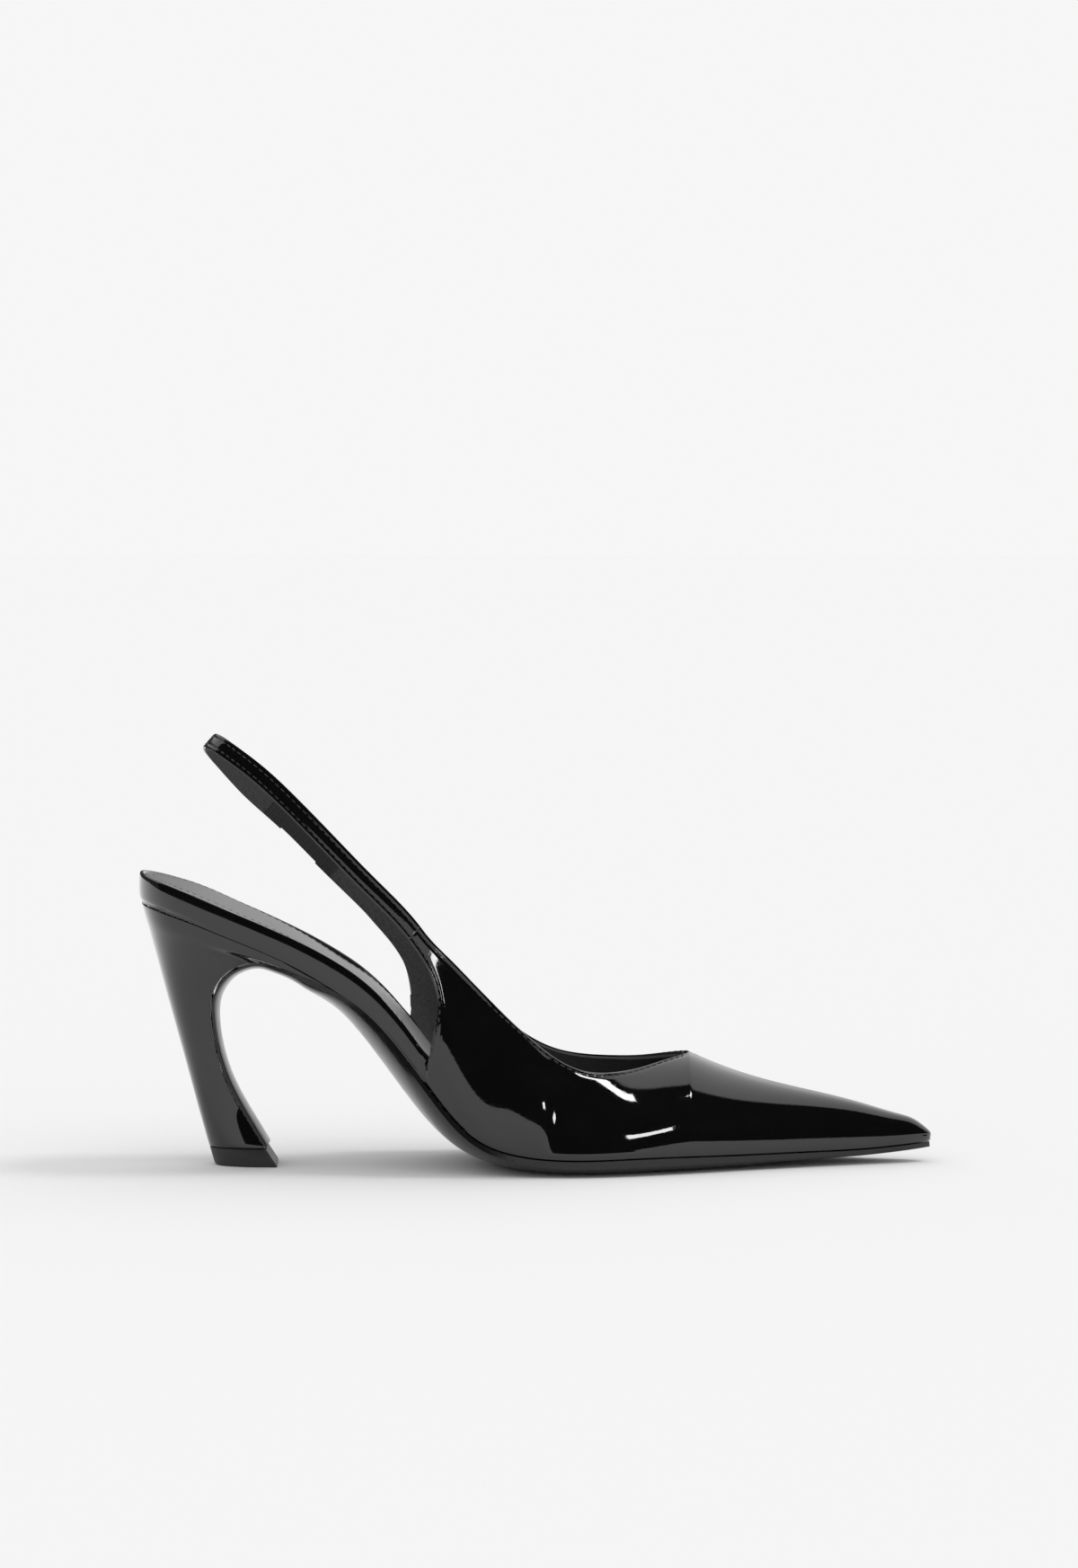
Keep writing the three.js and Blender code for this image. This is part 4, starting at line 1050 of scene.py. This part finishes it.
for label, index, inward in (("Rear", sling["elasticRear"], -1), ("Front", sling["elasticFront"], 1)):
    end = slingEdge(slingLength(index) + inward * 0.9)
    across = end + np.outer(np.linspace(1.3, sling["width"] - 1.3, 6), sling["across"])
    across = across - goreNormal * (upper["liningDepth"] + upper["liningThickness"] - threadDepth)
    stitchRow("goreStitches" + label, across, stretchBlend if inward < 0 else swingBlend)
sidesX = np.linspace(-40, outline["roundX"] + 0.5, 80)
sockLine = [(x, sockStitchInset - float(halfWidth(lateral, x))) for x in sidesX]
for turn in np.linspace(-math.pi / 2, math.pi / 2, 80):  # round the back
    deep = outline["backX"] + sockStitchInset - outline["roundX"]
    sockLine.append((outline["roundX"] + deep * math.cos(turn),
                     (outline["seatHalf"] - sockStitchInset) * math.sin(turn)))
sockLine += [(x, float(halfWidth(medial, x)) - sockStitchInset) for x in sidesX[::-1]]
sockLine = np.array([(x, y, float(above(x, sockHeight(x))) - 0.1) for x, y in sockLine])
stitchRow("sockStitches", sockLine)
print("stitches done")


# pieces inside the shoe keep their design shape and take their own finish, save the boards, whose near-black
# is painted shade
inside = [
    (fibreBoard, "toe_puff"), (paintedShadeBoard, "insole_board shank_board"), (heelPlastic, "heel_core"),
    (paddingFoam, "bottom_filler heel_pad_foam"),
    (steelFinish, "heel_reinforcing_tube top_lift_pin shank_spring shank_rivet_1 shank_rivet_2 heel_screw "
                  "heel_nail_1 heel_nail_2 heel_nail_3 heel_nail_4")]
for finish, names in inside:
    for name in names.split():
        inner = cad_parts[name]
        inner = bpy.data.objects[inner] if isinstance(inner, str) else inner
        inner.data.materials.clear()
        inner.data.materials.append(finish)


# studio: a pale tent behind and overhead, dark on the camera side
# small softboxes near the shoe, seen only as glints: name, place, width, depth, power
glints = [("glintVamp", (0.1684, -0.0396, 0.286), 0.036, 0.036, 0.056),
          ("glintLow", (0.0743, -0.0875, 0.0517), 0.024, 0.01, 0.01),
          ("glintQuarter", (-0.0283, -0.0801, 0.061), 0.004, 0.008, 0.0014)]
studio = dict(floorHalf=14, floorColour=0.83, backdrop=0.922, ambient=0.93, sun=0.62, sunAngle=16,
              mirrorBright=0.9, mirrorDark=0.008, panelEdge=0.12)
floorMesh = bpy.data.meshes.new("floor")
f = studio["floorHalf"]
floorMesh.from_pydata([(-f, -f, 0), (f, -f, 0), (f, f, 0), (-f, f, 0)], [], [(0, 1, 2, 3)])
floor = bpy.data.objects.new("floor", floorMesh)
scene.collection.objects.link(floor)
floorMaterial = bpy.data.materials.new("floorPaper")
floorMaterial.use_nodes = True
paper = floorMaterial.node_tree.nodes["Principled BSDF"]
paper.inputs["Base Color"].default_value = (studio["floorColour"],) * 3 + (1,)
paper.inputs["Roughness"].default_value = 1
paper.inputs["Specular IOR Level"].default_value = 0
floorMesh.materials.append(floorMaterial)


def grey(tree, level):
    made = node(tree, "Background")
    made.inputs["Color"].default_value = (level, level, level, 1)
    return made.outputs[0]


def mixShaders(tree, factor, first, second):
    made = node(tree, "MixShader", {0: factor})
    tree.links.new(first, made.inputs[1])
    tree.links.new(second, made.inputs[2])
    return made.outputs[0]


world = bpy.data.worlds.new("studio")
scene.world = world
world.use_nodes = True
sky = world.node_tree
sky.nodes.clear()
towards = node(sky, "SeparateXYZ", {0: node(sky, "TexCoord").outputs["Generated"]})
behind = node(sky, "MapRange", {"Value": towards.outputs["Y"]},
              From_Min=studio["panelEdge"] - 0.02, From_Max=studio["panelEdge"] + 0.02)
heelward = node(sky, "MapRange", {"Value": towards.outputs["X"]}, From_Min=0.22, From_Max=0.02)
low = node(sky, "MapRange", {"Value": towards.outputs["Z"]}, From_Min=0.5, From_Max=0.38)
shaded = mathNode(sky, "MULTIPLY", heelward.outputs[0], low.outputs[0])
unshaded = mathNode(sky, "SUBTRACT", 1.0, mathNode(sky, "MULTIPLY", shaded, 0.93))
bright = mathNode(sky, "MULTIPLY", behind.outputs[0], unshaded)
mirrored = mixShaders(sky, bright, grey(sky, studio["mirrorDark"]), grey(sky, studio["mirrorBright"]))
lightPath = node(sky, "LightPath")
lit = mixShaders(sky, lightPath.outputs["Is Glossy Ray"], grey(sky, studio["ambient"]), mirrored)
seen = mixShaders(sky, lightPath.outputs["Is Camera Ray"], lit, grey(sky, studio["backdrop"]))
sky.links.new(seen, node(sky, "OutputWorld").inputs[0])


def lamp(name, kind, place, aim, energy, mirrored, **values):
    data = bpy.data.lights.new(name, kind)
    data.energy = energy
    for key, value in values.items():
        setattr(data, key, value)
    made = bpy.data.objects.new(name, data)
    made.location = place
    made.rotation_euler = (Vector(aim) - Vector(place)).to_track_quat("-Z", "Y").to_euler()
    made.visible_camera = False
    made.visible_glossy = mirrored
    made.visible_diffuse = not mirrored
    scene.collection.objects.link(made)


lamp("overhead", "SUN", (1.2, 0.1, 2.2), (0, 0, 0), studio["sun"], False,
     angle=math.radians(studio["sunAngle"]))
for name, place, wide, deep, power in glints:
    lamp(name, "AREA", place, (0, 0, 0.03), power, True, shape="RECTANGLE", size=wide, size_y=deep)
scene.view_settings.view_transform = "Standard"
scene.view_settings.look = "None"
